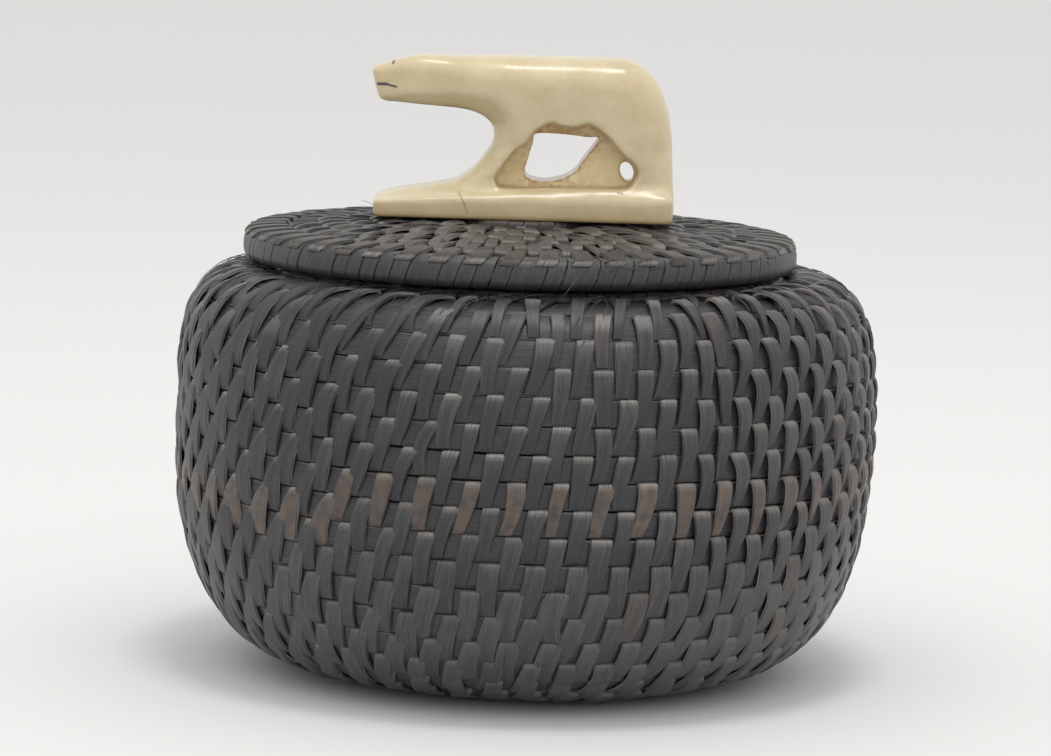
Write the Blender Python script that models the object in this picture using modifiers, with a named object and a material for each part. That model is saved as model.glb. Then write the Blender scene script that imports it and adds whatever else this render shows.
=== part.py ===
"""A coiled baleen basket with a lift-off lid and a carved ivory polar bear for a handle.

A long rod of baleen is laid in a spiral, first flat round an ivory starter disc for the bottom
and then up the barrel-shaped wall to the mouth. Thin strips of baleen bind each turn to the one
before it. Here each turn of the rod is modelled together with its binding, as one course.
The lid is built the same way round a smaller disc, ends in a thicker rim course, and has a ring
below that drops into the mouth. Two ivory pegs hold the bear to the lid's disc.
"""

import math

import bmesh
import bpy
import numpy as np
from mathutils import Matrix

MM = 0.001

# Fits
CLEARANCE = 0.3 * MM
TURN_GAP = 0.46 * MM
FLANGE_PLAY = 1.6 * MM

# Courses: a turn of the rod with the strips that bind it
COURSE_PITCH = 3.7 * MM
WALL_THICKNESS = 3.6 * MM
COURSE_FLAT = 0.46
START_WIDTH = 0.5 * MM
BODY_POINTS_PER_TURN = 24
LID_POINTS_PER_TURN = 20

# Way round of a coil from its disc outwards, seen from above
CLOCKWISE = -1
COUNTERCLOCKWISE = 1

# Basket body
BELLY_RADIUS = 50.0 * MM
BELLY_HEIGHT = 37.6 * MM
BODY_HEIGHT = 57.7 * MM
BASE_FLAT_RADIUS = 22.0 * MM
LOWER_FULLNESS = 2.95
UPPER_FULLNESS = 3.3
BASE_COIL_TOP = 5.5 * MM

# Mouth
MOUTH_RADIUS = 32.6 * MM
MOUTH_RIM_SECTION = 3.8 * MM

# Starter discs and the holes along their edges
BASE_DISC_RADIUS = 13.0 * MM
BASE_DISC_THICKNESS = 3.0 * MM
BASE_DISC_HOLES = 22
LID_DISC_RADIUS = 7.4 * MM
LID_DISC_THICKNESS = 3.0 * MM
LID_DISC_HOLES = 12
LACING_HOLE_RADIUS = 0.6 * MM
LACING_HOLE_INSET = 1.7 * MM
DISC_EDGE_ROUND = 0.4 * MM

# Accent row: the one turn that is bound with brown strips
ACCENT_HEIGHT = 28.5 * MM

# Lid
LID_RADIUS = 39.5 * MM
LID_RIM_SECTION = 4.0 * MM
LID_RISE = 2.6 * MM
FLANGE_SECTION = 3.2 * MM
FLANGE_HEIGHT = 5.6 * MM
RING_SEGMENTS = 48
RING_SIDES = 8

# Bear finial, carved with its plinth from one piece
BEAR_LENGTH = 43.1 * MM
BEAR_HEIGHT = 22.8 * MM
BEAR_WIDTH = 13.6 * MM
BEAR_BACK_ROUND = 3.3 * MM
BEAR_NOSE_X = -21.5 * MM
PLINTH_LENGTH = 42.5 * MM
PLINTH_WIDTH = 16.4 * MM
PLINTH_THICKNESS = 3.8 * MM
PLINTH_FRONT_THICKNESS = 2.4 * MM
PLINTH_FULLNESS = 3.4
ARCH_DEPTH_PAST_MIDDLE = -0.8 * MM
HEEL_HOLE_RADIUS = 1.15 * MM
CARVING_GRID = 0.5 * MM
CARVING_SMOOTHING = 4
CARVING_KEEP = 0.10
PEG_RADIUS = 1.0 * MM
PEG_SPACING = 7.0 * MM
PEG_DEPTH_IN_PLINTH = 2.2 * MM
PEG_SEGMENTS = 12

# The bear seen from above, as shares of its length from the nose and of half its width
BEAR_PLAN = [
    (0.000, 0.340), (0.070, 0.515), (0.150, 0.630), (0.270, 0.705), (0.400, 0.925), (0.600, 0.925),
    (0.800, 1.000), (0.950, 0.910), (1.005, 0.675),
]

# Outlines of the bear seen from its left side, as shares of its length from the nose and of its
# height above the plinth's underside
BEAR_OUTLINE = [
    (0.000, 0.905), (0.020, 0.938), (0.075, 0.965), (0.190, 1.000), (0.290, 0.985), (0.420, 0.995),
    (0.740, 1.000), (0.850, 0.980), (0.915, 0.905), (0.962, 0.750), (0.985, 0.480), (0.990, 0.090),
    (0.300, 0.090), (0.310, 0.250), (0.350, 0.310), (0.395, 0.450), (0.402, 0.570), (0.365, 0.650),
    (0.200, 0.690), (0.050, 0.712), (0.010, 0.770),
]
RAMP_OUTLINE = [(0.260, 0.060), (0.050, 0.060), (0.040, 0.115), (0.200, 0.175), (0.300, 0.240), (0.400, 0.330)]
NEAR_ARCH_OUTLINE = [
    (0.430, 0.178), (0.422, 0.260), (0.440, 0.350), (0.492, 0.434), (0.524, 0.535), (0.599, 0.623),
    (0.691, 0.623), (0.775, 0.560), (0.862, 0.400), (0.880, 0.300), (0.860, 0.200), (0.820, 0.178),
    (0.630, 0.180),
]
FAR_ARCH_OUTLINE = [
    (0.541, 0.531), (0.745, 0.513), (0.701, 0.368), (0.673, 0.294), (0.615, 0.246), (0.561, 0.240),
    (0.513, 0.285), (0.527, 0.434),
]
HEEL_HOLE = (0.850, 0.288)

# Heights that follow from the sizes above
LID_RIM_HEIGHT = BODY_HEIGHT + CLEARANCE + LID_RIM_SECTION / 2
LID_TOP = LID_RIM_HEIGHT + LID_RISE + WALL_THICKNESS / 2
PLINTH_BOTTOM = LID_TOP + CLEARANCE

# The loose lid sits against the left side of the mouth, where its flange has used up its play
LID_SHIFT = -(FLANGE_PLAY - CLEARANCE)

BALEEN_BLACK = ("baleen_black", (0.062, 0.060, 0.064), 0.42)
BALEEN_BROWN = ("baleen_brown", (0.110, 0.080, 0.064), 0.45)
IVORY = ("ivory", (0.72, 0.60, 0.40), 0.28)


def clear_scene():
    for obj in list(bpy.data.objects):
        bpy.data.objects.remove(obj)


def new_collection(name):
    collection = bpy.data.collections.new(name)
    bpy.context.scene.collection.children.link(collection)
    return collection


clear_scene()
BASKET = new_collection("baleen_basket")
CUTTERS = new_collection("cutters_and_guides")


def material(name, colour, roughness):
    made = bpy.data.materials.get(name)
    if made is None:
        made = bpy.data.materials.new(name)
        made.use_nodes = True
        shader = made.node_tree.nodes["Principled BSDF"]
        shader.inputs["Base Color"].default_value = (*colour, 1.0)
        shader.inputs["Roughness"].default_value = roughness
        shader.inputs["Metallic"].default_value = 0.0
        made.diffuse_color = (*colour, 1.0)
    return made


def place(obj, collection, finish=None):
    """Puts an object in one collection only, and gives it its finish."""
    for old in list(obj.users_collection):
        old.objects.unlink(obj)
    collection.objects.link(obj)
    if finish:
        obj.data.materials.clear()
        obj.data.materials.append(material(*finish))
    return obj


def as_cutter(obj):
    obj.hide_render = True
    obj.display_type = "WIRE"
    return place(obj, CUTTERS)


def new_object(name, data):
    obj = bpy.data.objects.new(name, data)
    bpy.context.scene.collection.objects.link(obj)
    return obj


def evaluated_mesh(obj):
    bpy.context.view_layer.update()
    depsgraph = bpy.context.evaluated_depsgraph_get()
    return bpy.data.meshes.new_from_object(obj.evaluated_get(depsgraph))


def curve_to_mesh(curve_obj):
    """Makes a curve's solid a mesh with welded caps, and removes the curve."""
    name = curve_obj.name
    mesh = evaluated_mesh(curve_obj)
    matrix = curve_obj.matrix_world.copy()
    bpy.data.objects.remove(curve_obj)
    work = bmesh.new()
    work.from_mesh(mesh)
    bmesh.ops.remove_doubles(work, verts=work.verts, dist=0.01 * MM)
    bmesh.ops.recalc_face_normals(work, faces=work.faces)
    work.to_mesh(mesh)
    work.free()
    obj = new_object(name, mesh)
    obj.matrix_world = matrix
    return obj


def boolean(obj, operation, other):
    modifier = obj.modifiers.new(operation.lower() + "_" + other.name, "BOOLEAN")
    modifier.operation = operation
    modifier.object = other
    modifier.solver = "EXACT"


def cylinder(name, radius, low, high, x=0.0, y=0.0, segments=24):
    bpy.ops.mesh.primitive_cylinder_add(
        vertices=segments,
        radius=radius,
        depth=high - low,
        location=(x, y, (low + high) / 2),
    )
    obj = bpy.context.object
    obj.name = name
    return obj


class Surface:
    """The mid-surface of a coiled wall: a profile in radius and height, walked by arc length."""

    def __init__(self, radii, heights):
        self.radii = np.asarray(radii)
        self.heights = np.asarray(heights)
        steps = np.hypot(np.diff(self.radii), np.diff(self.heights))
        self.walked = np.concatenate([[0.0], np.cumsum(steps)])
        self.length = float(self.walked[-1])

    def point(self, s):
        return np.interp(s, self.walked, self.radii), np.interp(s, self.walked, self.heights)

    def slope(self, s):
        """Angle of the profile at s: 0 where the wall runs level and outwards, 90 degrees upright."""
        before = self.point(max(s - MM, 0.0))
        after = self.point(min(s + MM, self.length))
        return math.atan2(after[1] - before[1], after[0] - before[0])

    def at_height(self, height):
        """Arc length where a rising wall first reaches this height."""
        return float(np.interp(height, self.heights, self.walked))


def superellipse(across, up, fullness, start, end, count):
    """Points of |x / across|^fullness + |z / up|^fullness = 1 between two angles."""
    angle = np.linspace(start, end, count)
    x = np.sign(np.cos(angle)) * np.abs(np.cos(angle)) ** (2 / fullness)
    z = np.sign(np.sin(angle)) * np.abs(np.sin(angle)) ** (2 / fullness)
    return across * x, up * z


def body_surface():
    """Level from the starter disc, a full curve out to the belly, then a tighter one to the mouth."""
    half = WALL_THICKNESS / 2
    belly = BELLY_RADIUS - half
    mouth = MOUTH_RADIUS + MOUTH_RIM_SECTION + CLEARANCE
    lower_x, lower_z = superellipse(
        belly - BASE_FLAT_RADIUS, BELLY_HEIGHT - half, LOWER_FULLNESS, -math.pi / 2, 0.0, 80
    )
    upper_x, upper_z = superellipse(
        belly - mouth, BODY_HEIGHT - half - BELLY_HEIGHT, UPPER_FULLNESS, 0.0, math.pi / 2, 60
    )
    start = BASE_DISC_RADIUS + CLEARANCE
    radii = np.concatenate([[start], BASE_FLAT_RADIUS + lower_x, mouth + upper_x[1:]])
    heights = np.concatenate([[half], BELLY_HEIGHT + lower_z, BELLY_HEIGHT + upper_z[1:]])
    return Surface(radii, heights)


def lid_height(radius):
    """Height of the lid's mid-surface: a shallow dome that meets the rim course at its centre."""
    rim_centre = LID_RADIUS - LID_RIM_SECTION / 2
    return LID_RIM_HEIGHT + LID_RISE * (1 - (radius / rim_centre) ** 2)


def lid_surface():
    radii = np.linspace(LID_DISC_RADIUS + CLEARANCE, LID_RADIUS - LID_RIM_SECTION - CLEARANCE, 40)
    return Surface(radii, lid_height(radii))


class Coil:
    """One rod laid in a spiral over a surface. It thins to START_WIDTH at its two ends, over a whole
    turn, so that the coil's edges lie nearly level against the disc and at the rim."""

    def __init__(self, name, surface, points_per_turn, way_round):
        self.name = name
        self.surface = surface
        self.way_round = way_round
        self.points_per_turn = points_per_turn
        room = surface.length - TURN_GAP - 2 * START_WIDTH
        self.turns = 1 + max(2, round(room / COURSE_PITCH))
        self.pitch = room / (self.turns - 1)
        self.width = self.pitch - TURN_GAP
        self.drift = TURN_GAP + START_WIDTH
        self.section = self.make_section()

    def make_section(self):
        """Section of a course: level on the outer and the inner side, with sloping edges."""
        half_width = self.width / 2
        half_thick = WALL_THICKNESS / 2
        level = half_width * COURSE_FLAT
        outline = [
            (half_width, 0), (level, -half_thick), (-level, -half_thick),
            (-half_width, 0), (-level, half_thick), (level, half_thick),
        ]
        return as_cutter(outline_object(self.name + "_section", outline, filled=False))

    def course(self, turn):
        """Arc length of the course's centre at this turn, and its share of the full width."""
        taper = min(1.0, turn, self.turns - turn)
        width = START_WIDTH + (self.width - START_WIDTH) * taper
        edge = self.drift * min(turn, 1.0) + self.pitch * max(turn - 1.0, 0.0)
        return edge + width / 2, width / self.width

    def turn_at_height(self, height):
        """The mark, a whole number of steps round the coil, nearest to where it passes this height."""
        s = self.surface.at_height(height)
        turn = 1.0 + (s - self.drift - self.width / 2) / self.pitch
        return round(turn * self.points_per_turn) / self.points_per_turn

    def mark(self, turn):
        """Centre of the course at a mark, as x, y and z, with the wall's slope and the width share."""
        s, share = self.course(turn)
        radius, height = self.surface.point(s)
        angle = self.way_round * 2 * math.pi * turn
        return np.array([
            radius * math.cos(angle), radius * math.sin(angle), height, self.surface.slope(s), share
        ])

    def length_between(self, name, first, last, finish):
        """A length of the coil between two marks, as one tube that leans with the wall. It starts far
        enough past the length before it to clear that length's end face, which turns by one step."""
        count = round((last - first) * self.points_per_turn) + 1
        marks = np.array([self.mark(turn) for turn in np.linspace(first, last, count)])
        run = np.linalg.norm(marks[1, :3] - marks[0, :3])
        turned = WALL_THICKNESS * math.tan(math.pi / self.points_per_turn)
        marks[0] += (marks[1] - marks[0]) * (CLEARANCE + turned) / run
        curve = bpy.data.curves.new(name, "CURVE")
        curve.dimensions = "3D"
        curve.twist_mode = "Z_UP"
        curve.bevel_mode = "OBJECT"
        curve.bevel_object = self.section
        curve.use_fill_caps = True
        spline = curve.splines.new("POLY")
        spline.points.add(count - 1)
        for point, (x, y, z, slope, share) in zip(spline.points, marks):
            point.co = (x, y, z, 1)
            point.radius = share
            point.tilt = -slope * self.way_round
        obj = place(new_object(name, curve), BASKET, finish)
        self.print_least_gap(obj, last - first)
        return obj

    def print_least_gap(self, obj, turns):
        """Least distance between the points of one turn's rings and those of the next turn's."""
        mesh = evaluated_mesh(obj)
        points = np.empty(len(mesh.vertices) * 3)
        mesh.vertices.foreach_get("co", points)
        bpy.data.meshes.remove(mesh)
        sides = len(self.section.data.splines[0].points)
        points = points.reshape(-1, 3)
        rings = points[: len(points) // sides * sides].reshape(-1, sides, 3)
        lower, upper = rings[: -self.points_per_turn], rings[self.points_per_turn:]
        if len(lower) < self.points_per_turn // 2:
            print(f"{obj.name}: {turns:.2f} turns, too few to meet itself")
            return
        apart = np.linalg.norm(lower[:, :, None] - upper[:, None, :], axis=-1)
        print(f"{obj.name}: {turns:.2f} turns, least gap to itself {apart.min() / MM:.2f} mm")


def outline_object(name, outline, half_depth=0.0, edge_round=0.0, smooth=False, filled=True):
    """A flat outline in its own XY plane, and the solid that it makes when it has a depth."""
    curve = bpy.data.curves.new(name, "CURVE")
    curve.dimensions = "2D"
    curve.fill_mode = "BOTH" if filled else "NONE"
    curve.extrude = half_depth - edge_round
    curve.bevel_depth = edge_round
    curve.bevel_resolution = 3
    curve.offset = -edge_round
    curve.resolution_u = 5
    if smooth:
        spline = curve.splines.new("BEZIER")
        spline.bezier_points.add(len(outline) - 1)
        for point, (x, y) in zip(spline.bezier_points, outline):
            point.co = (x, y, 0)
            point.handle_left_type = point.handle_right_type = "AUTO"
    else:
        spline = curve.splines.new("POLY")
        spline.points.add(len(outline) - 1)
        for point, (x, y) in zip(spline.points, outline):
            point.co = (x, y, 0, 1)
    spline.use_cyclic_u = True
    return new_object(name, curve)


def ring(name, centre_radius, height, across, up, finish):
    """A round rim or hoop: a torus stretched to its section's width and height."""
    bpy.ops.mesh.primitive_torus_add(
        major_radius=centre_radius, minor_radius=across / 2,
        major_segments=RING_SEGMENTS, minor_segments=RING_SIDES,
    )
    obj = bpy.context.object
    obj.name = name
    obj.data.transform(Matrix.Diagonal((1, 1, up / across, 1)))
    obj.location.z = height
    return place(obj, BASKET, finish)


def starter_disc(name, radius, low, high, holes, finish):
    """An ivory disc with softened edges and lacing holes drilled along its rim."""
    disc = place(cylinder(name, radius, low, high, segments=48), BASKET, finish)
    soften = disc.modifiers.new("softened_edges", "BEVEL")
    soften.width = DISC_EDGE_ROUND
    soften.segments = 2
    soften.limit_method = "ANGLE"
    work = bmesh.new()
    for k in range(holes):
        angle = 2 * math.pi * k / holes
        reach = radius - LACING_HOLE_INSET
        spot = Matrix.Translation((reach * math.cos(angle), reach * math.sin(angle), (low + high) / 2))
        bmesh.ops.create_cone(
            work, cap_ends=True, segments=8, radius1=LACING_HOLE_RADIUS, radius2=LACING_HOLE_RADIUS,
            depth=2 * (high - low), matrix=spot,
        )
    mesh = bpy.data.meshes.new(name + "_drills")
    work.to_mesh(mesh)
    work.free()
    boolean(disc, "DIFFERENCE", as_cutter(new_object(name + "_drills", mesh)))
    return disc


def basket_body():
    starter_disc("base_starter_disc", BASE_DISC_RADIUS, 0.0, BASE_DISC_THICKNESS, BASE_DISC_HOLES, IVORY)
    coil = Coil("body_coil", body_surface(), BODY_POINTS_PER_TURN, CLOCKWISE)
    print(f"body coil: {coil.turns} turns, pitch {coil.pitch / MM:.3f} mm")
    base_end = coil.turn_at_height(BASE_COIL_TOP)
    accent_start = coil.turn_at_height(ACCENT_HEIGHT)
    accent_end = accent_start + 1.0
    coil.length_between("base_coil", 0.0, base_end, BALEEN_BLACK)
    coil.length_between("lower_wall_coil", base_end, accent_start, BALEEN_BLACK)
    coil.length_between("accent_coil", accent_start, accent_end, BALEEN_BROWN)
    coil.length_between("upper_wall_coil", accent_end, coil.turns, BALEEN_BLACK)
    ring(
        "mouth_rim", MOUTH_RADIUS + MOUTH_RIM_SECTION / 2, BODY_HEIGHT - MOUTH_RIM_SECTION / 2,
        MOUTH_RIM_SECTION, MOUTH_RIM_SECTION, BALEEN_BLACK,
    )


def lid():
    centre = lid_height(0.0)
    low = centre - LID_DISC_THICKNESS / 2
    high = centre + LID_DISC_THICKNESS / 2
    disc = starter_disc("lid_starter_disc", LID_DISC_RADIUS, low, high, LID_DISC_HOLES, IVORY)
    coil = Coil("lid_coil", lid_surface(), LID_POINTS_PER_TURN, COUNTERCLOCKWISE)
    print(f"lid coil: {coil.turns} turns, pitch {coil.pitch / MM:.3f} mm")
    coil.length_between("lid_coil", 0.0, coil.turns, BALEEN_BLACK)
    ring(
        "lid_rim", LID_RADIUS - LID_RIM_SECTION / 2, LID_RIM_HEIGHT,
        LID_RIM_SECTION, LID_RIM_SECTION, BALEEN_BLACK,
    )
    flange_radius = MOUTH_RADIUS - FLANGE_PLAY - FLANGE_SECTION / 2
    flange_top = lid_height(flange_radius + FLANGE_SECTION / 2) - WALL_THICKNESS / 2 - CLEARANCE
    ring(
        "lid_flange", flange_radius, flange_top - FLANGE_HEIGHT / 2,
        FLANGE_SECTION, FLANGE_HEIGHT, BALEEN_BLACK,
    )
    return disc, low


def bear_point(share):
    """A share of the bear's length and height as a place in its side view."""
    return BEAR_NOSE_X + share[0] * BEAR_LENGTH, share[1] * BEAR_HEIGHT


def side_view_solid(name, shares, half_depth, edge_round=0.0, y=0.0, smooth=True):
    """A solid whose outline is seen from the bear's left side, centred on the plane y."""
    outline = [bear_point(share) for share in shares]
    obj = outline_object(name, outline, half_depth, edge_round, smooth)
    obj.rotation_euler.x = math.pi / 2
    obj.location = (0, y, PLINTH_BOTTOM)
    bpy.context.view_layer.update()
    return curve_to_mesh(obj)


def plan_solid(name, outline, low, high):
    """A solid whose outline is seen from above."""
    obj = outline_object(name, outline, (high - low) / 2)
    obj.location.z = PLINTH_BOTTOM + (low + high) / 2
    bpy.context.view_layer.update()
    return curve_to_mesh(obj)


def bear_finial():
    """Bear and plinth: the side view, cut to the plan's width, joined to the plinth and softened."""
    half_width = BEAR_WIDTH / 2
    bear = side_view_solid("bear_finial", BEAR_OUTLINE, half_width, BEAR_BACK_ROUND)
    near_side = [(BEAR_NOSE_X + along * BEAR_LENGTH, -out * half_width) for along, out in BEAR_PLAN]
    far_side = [(x, -y) for x, y in reversed(near_side)]
    boolean(bear, "INTERSECT", as_cutter(plan_solid("bear_plan", near_side + far_side, 0.0, 2 * BEAR_HEIGHT)))
    plinth_x, plinth_y = superellipse(
        PLINTH_LENGTH / 2, PLINTH_WIDTH / 2, PLINTH_FULLNESS, 0.0, 2 * math.pi, 49
    )
    middle = BEAR_NOSE_X + BEAR_LENGTH - PLINTH_LENGTH / 2
    plan = list(zip(middle + plinth_x[:-1], plinth_y[:-1]))
    plinth = plan_solid("plinth_block", plan, 0.0, BEAR_HEIGHT)
    slope = [
        (0.0, 0.0), (0.0, PLINTH_FRONT_THICKNESS), (0.3 * PLINTH_LENGTH, PLINTH_THICKNESS),
        (PLINTH_LENGTH + MM, PLINTH_THICKNESS), (PLINTH_LENGTH + MM, 0.0),
    ]
    front = middle - PLINTH_LENGTH / 2
    profile = outline_object("plinth_profile", [(front + x, z) for x, z in slope], PLINTH_WIDTH)
    profile.rotation_euler.x = math.pi / 2
    profile.location.z = PLINTH_BOTTOM
    boolean(plinth, "INTERSECT", as_cutter(curve_to_mesh(profile)))
    boolean(bear, "UNION", as_cutter(plinth))
    ramp = side_view_solid("chest_ramp", RAMP_OUTLINE, PLINTH_WIDTH / 4, smooth=False)
    boolean(bear, "UNION", as_cutter(ramp))
    reach = PLINTH_WIDTH
    near = side_view_solid("near_arch", NEAR_ARCH_OUTLINE, reach / 2, 0.0, ARCH_DEPTH_PAST_MIDDLE - reach / 2)
    boolean(bear, "DIFFERENCE", as_cutter(near))
    far = side_view_solid("far_arch", FAR_ARCH_OUTLINE, reach, smooth=False)
    boolean(bear, "DIFFERENCE", as_cutter(far))
    heel_x, heel_z = bear_point(HEEL_HOLE)
    bpy.ops.mesh.primitive_cylinder_add(
        vertices=16, radius=HEEL_HOLE_RADIUS, depth=2 * reach,
        location=(heel_x, 0, PLINTH_BOTTOM + heel_z), rotation=(math.pi / 2, 0, 0),
    )
    heel = bpy.context.object
    heel.name = "heel_hole"
    boolean(bear, "DIFFERENCE", as_cutter(heel))
    soft = bear.modifiers.new("even_surface", "REMESH")
    soft.mode = "VOXEL"
    soft.voxel_size = CARVING_GRID
    worn = bear.modifiers.new("worn_edges", "SMOOTH")
    worn.factor = 0.5
    worn.iterations = CARVING_SMOOTHING
    fewer = bear.modifiers.new("fewer_faces", "DECIMATE")
    fewer.ratio = CARVING_KEEP
    return place(bear, BASKET, IVORY)


def pegs(disc, disc_low, bear):
    """Two pegs through the lid's disc and into the plinth, and the holes that they fill."""
    top = PLINTH_BOTTOM + PEG_DEPTH_IN_PLINTH
    for name, x in (("front_peg", -PEG_SPACING / 2), ("rear_peg", PEG_SPACING / 2)):
        place(cylinder(name, PEG_RADIUS, disc_low, top, x, 0.0, PEG_SEGMENTS), BASKET, IVORY)
        low = disc_low - MM
        high = top + CLEARANCE
        hole = as_cutter(cylinder(name + "_hole", PEG_RADIUS + CLEARANCE, low, high, x, 0.0, PEG_SEGMENTS))
        boolean(disc, "DIFFERENCE", hole)
        boolean(bear, "DIFFERENCE", hole)


def slide_sideways(pieces, distance):
    for piece in pieces:
        piece.location.x += distance


basket_body()
body_objects = set(bpy.data.objects)
lid_disc, lid_disc_low = lid()
pegs(lid_disc, lid_disc_low, bear_finial())
slide_sideways(set(bpy.data.objects) - body_objects, LID_SHIFT)
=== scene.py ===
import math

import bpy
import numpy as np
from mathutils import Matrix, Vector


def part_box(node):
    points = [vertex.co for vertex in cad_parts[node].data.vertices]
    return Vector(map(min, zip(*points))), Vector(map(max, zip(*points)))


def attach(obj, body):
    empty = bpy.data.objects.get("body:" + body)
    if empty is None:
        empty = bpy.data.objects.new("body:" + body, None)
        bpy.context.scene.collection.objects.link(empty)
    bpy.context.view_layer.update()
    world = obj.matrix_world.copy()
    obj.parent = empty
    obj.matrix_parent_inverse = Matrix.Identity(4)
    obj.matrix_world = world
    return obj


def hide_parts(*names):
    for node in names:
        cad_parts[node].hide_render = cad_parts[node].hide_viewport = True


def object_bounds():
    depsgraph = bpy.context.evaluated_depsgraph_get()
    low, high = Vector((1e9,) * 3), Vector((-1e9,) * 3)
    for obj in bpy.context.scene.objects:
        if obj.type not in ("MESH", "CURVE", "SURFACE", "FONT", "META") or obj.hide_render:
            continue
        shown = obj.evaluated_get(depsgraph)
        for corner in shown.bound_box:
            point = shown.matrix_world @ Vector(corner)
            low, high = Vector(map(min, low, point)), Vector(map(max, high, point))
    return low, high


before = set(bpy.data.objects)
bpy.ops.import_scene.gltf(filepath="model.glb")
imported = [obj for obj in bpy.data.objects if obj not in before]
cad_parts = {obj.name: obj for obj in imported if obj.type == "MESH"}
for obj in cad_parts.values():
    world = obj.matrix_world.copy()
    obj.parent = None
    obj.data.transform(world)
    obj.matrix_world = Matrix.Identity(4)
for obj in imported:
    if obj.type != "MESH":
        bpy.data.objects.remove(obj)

# %% [markdown]
# # A coiled baleen basket with a carved ivory bear
#
# Baleen is the horn-like fringe from a bowhead whale's mouth. A basket maker splits it into a round
# rod and into thin flat strips. The rod is laid in a spiral, round and round, and each turn is bound
# to the turn below it with strips that pass over both. The coil starts at a small drilled disc of
# walrus ivory, and the lid is coiled the same way and carries a bear cut from one piece of ivory.
#
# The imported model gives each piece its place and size. Here every piece gets its real surface:
# the rods, more than a thousand strips one by one, the wrapped rims and the carved bear.

MM = 0.001
CAD_BOX = [list(corner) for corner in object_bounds()]
RANDOM = np.random.default_rng(12)


def box_mm(node):
    """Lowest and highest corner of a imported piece, in millimetres."""
    low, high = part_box(node)
    return np.array(low) / MM, np.array(high) / MM


print("packed size, mm:", np.round((np.array(CAD_BOX[1]) - np.array(CAD_BOX[0])) / MM, 1))

# %% [markdown]
# ## Camera
#
# The photograph was taken from about half a metre away with a long lens, a little above the lid, and
# the basket leans by less than two degrees in the frame. So the camera looks down by a small angle
# and is rolled by the lean. A long lens keeps the far side of the lid nearly as wide as the near side.

# %% Camera
CAMERA_DISTANCE = 600 * MM
CAMERA_AIM_HEIGHT = 41.4 * MM
CAMERA_ELEVATION = math.radians(7.38)
CAMERA_ROLL = math.radians(1.7)
LENS_MM = 143.4
SENSOR_MM = 36.0
NEAREST_SEEN = 10 * MM

camera = bpy.data.objects.new("camera", bpy.data.cameras.new("camera"))
bpy.context.scene.collection.objects.link(camera)
backwards = Vector((0, -math.cos(CAMERA_ELEVATION), math.sin(CAMERA_ELEVATION)))
camera.matrix_world = (
    Matrix.Translation(Vector((0, 0, CAMERA_AIM_HEIGHT)) + backwards * CAMERA_DISTANCE)
    @ Matrix.Rotation(math.pi / 2 - CAMERA_ELEVATION, 4, "X")
    @ Matrix.Rotation(CAMERA_ROLL, 4, "Z")
)
camera.data.lens = LENS_MM
camera.data.sensor_width = SENSOR_MM
camera.data.clip_start = NEAREST_SEEN
bpy.context.scene.camera = camera
print("camera stands", CAMERA_DISTANCE / MM, "mm away")

# %% [markdown]
# ## Colours and nodes
#
# Colours are written as the hex values that a paint chart would give, and one function turns them
# into the linear light values that Blender mixes. One more function adds a node with its settings
# and its links, and short ones built on it name the steps that come back in every material.


# %% Colour and node helpers
def linear(hex_colour):
    """sRGB hex to linear light: (c / 12.92) below 0.04045, else ((c + 0.055) / 1.055) ^ 2.4."""
    parts = np.array([int(hex_colour[i : i + 2], 16) for i in (1, 3, 5)]) / 255
    light = np.where(parts <= 0.04045, parts / 12.92, ((parts + 0.055) / 1.055) ** 2.4)
    return (*light.tolist(), 1.0)


def node(tree, kind, inputs=None, **settings):
    """Adds a node. Each entry of inputs is a value for that socket, or the output that feeds it."""
    made = tree.nodes.new("ShaderNode" + kind)
    for name, value in settings.items():
        setattr(made, name, value)
    for name, value in (inputs or {}).items():
        if isinstance(value, bpy.types.NodeSocket):
            tree.links.new(value, made.inputs[name])
        else:
            made.inputs[name].default_value = value
    return made.outputs


def new_material(name, **values):
    """A material with one Principled shader, and these plain values set on its sockets."""
    made = bpy.data.materials.new(name)
    made.use_nodes = True
    shader = made.node_tree.nodes["Principled BSDF"]
    for socket, value in values.items():
        shader.inputs[socket.replace("_", " ")].default_value = value
    return made, made.node_tree, shader


def mix_colour(tree, share, first, second):
    """Colour that goes from first to second as share goes from 0 to 1. Sockets 6 and 7 are A and B."""
    return node(tree, "Mix", {0: share, 6: first, 7: second}, data_type="RGBA")[2]


def maths(tree, operation, *terms, clamp=False):
    return node(tree, "Math", dict(enumerate(terms)), operation=operation, use_clamp=clamp)[0]


def vectors(tree, operation, inputs, result="Vector"):
    return node(tree, "VectorMath", inputs, operation=operation)[result]


def noise(tree, place, size_mm, detail):
    return node(tree, "TexNoise", {"Vector": place, "Scale": 1 / (size_mm * MM), "Detail": detail})[0]


def graded(tree, value, low, high, start=0.0, end=1.0):
    """Goes evenly from start to end while the value goes from low to high."""
    ends = {"From Min": low, "From Max": high, "To Min": start, "To Max": end}
    return node(tree, "MapRange", {"Value": value, **ends})[0]


def carried(tree, name):
    """A number that each point of a piece carries, such as its tone."""
    return node(tree, "Attribute", attribute_name=name)["Fac"]


def dress(tree, shader, colour, relief, strength, depth):
    """Gives the shader its colour, and raises the relief as a bump of this depth."""
    tree.links.new(colour, shader.inputs["Base Color"])
    bump = node(tree, "Bump", {"Height": relief, "Strength": strength, "Distance": depth})
    tree.links.new(bump["Normal"], shader.inputs["Normal"])


print("baleen grey in linear light:", np.round(linear("#3c3c3e")[:3], 3))

# %% [markdown]
# ## Floor and light
#
# The basket stands on a plain pale floor under one large soft lamp, overhead and a little in front,
# as on a photographer's table. Dark baleen shows its shape through the soft shine of that lamp on
# each bend, so the lamp is broad. Even light from all round keeps the shaded side readable, and one
# small lamp draws the thin bright line along the polished back of the bear.

# %% Floor and light
FLOOR_SIZE = 12.0
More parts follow.
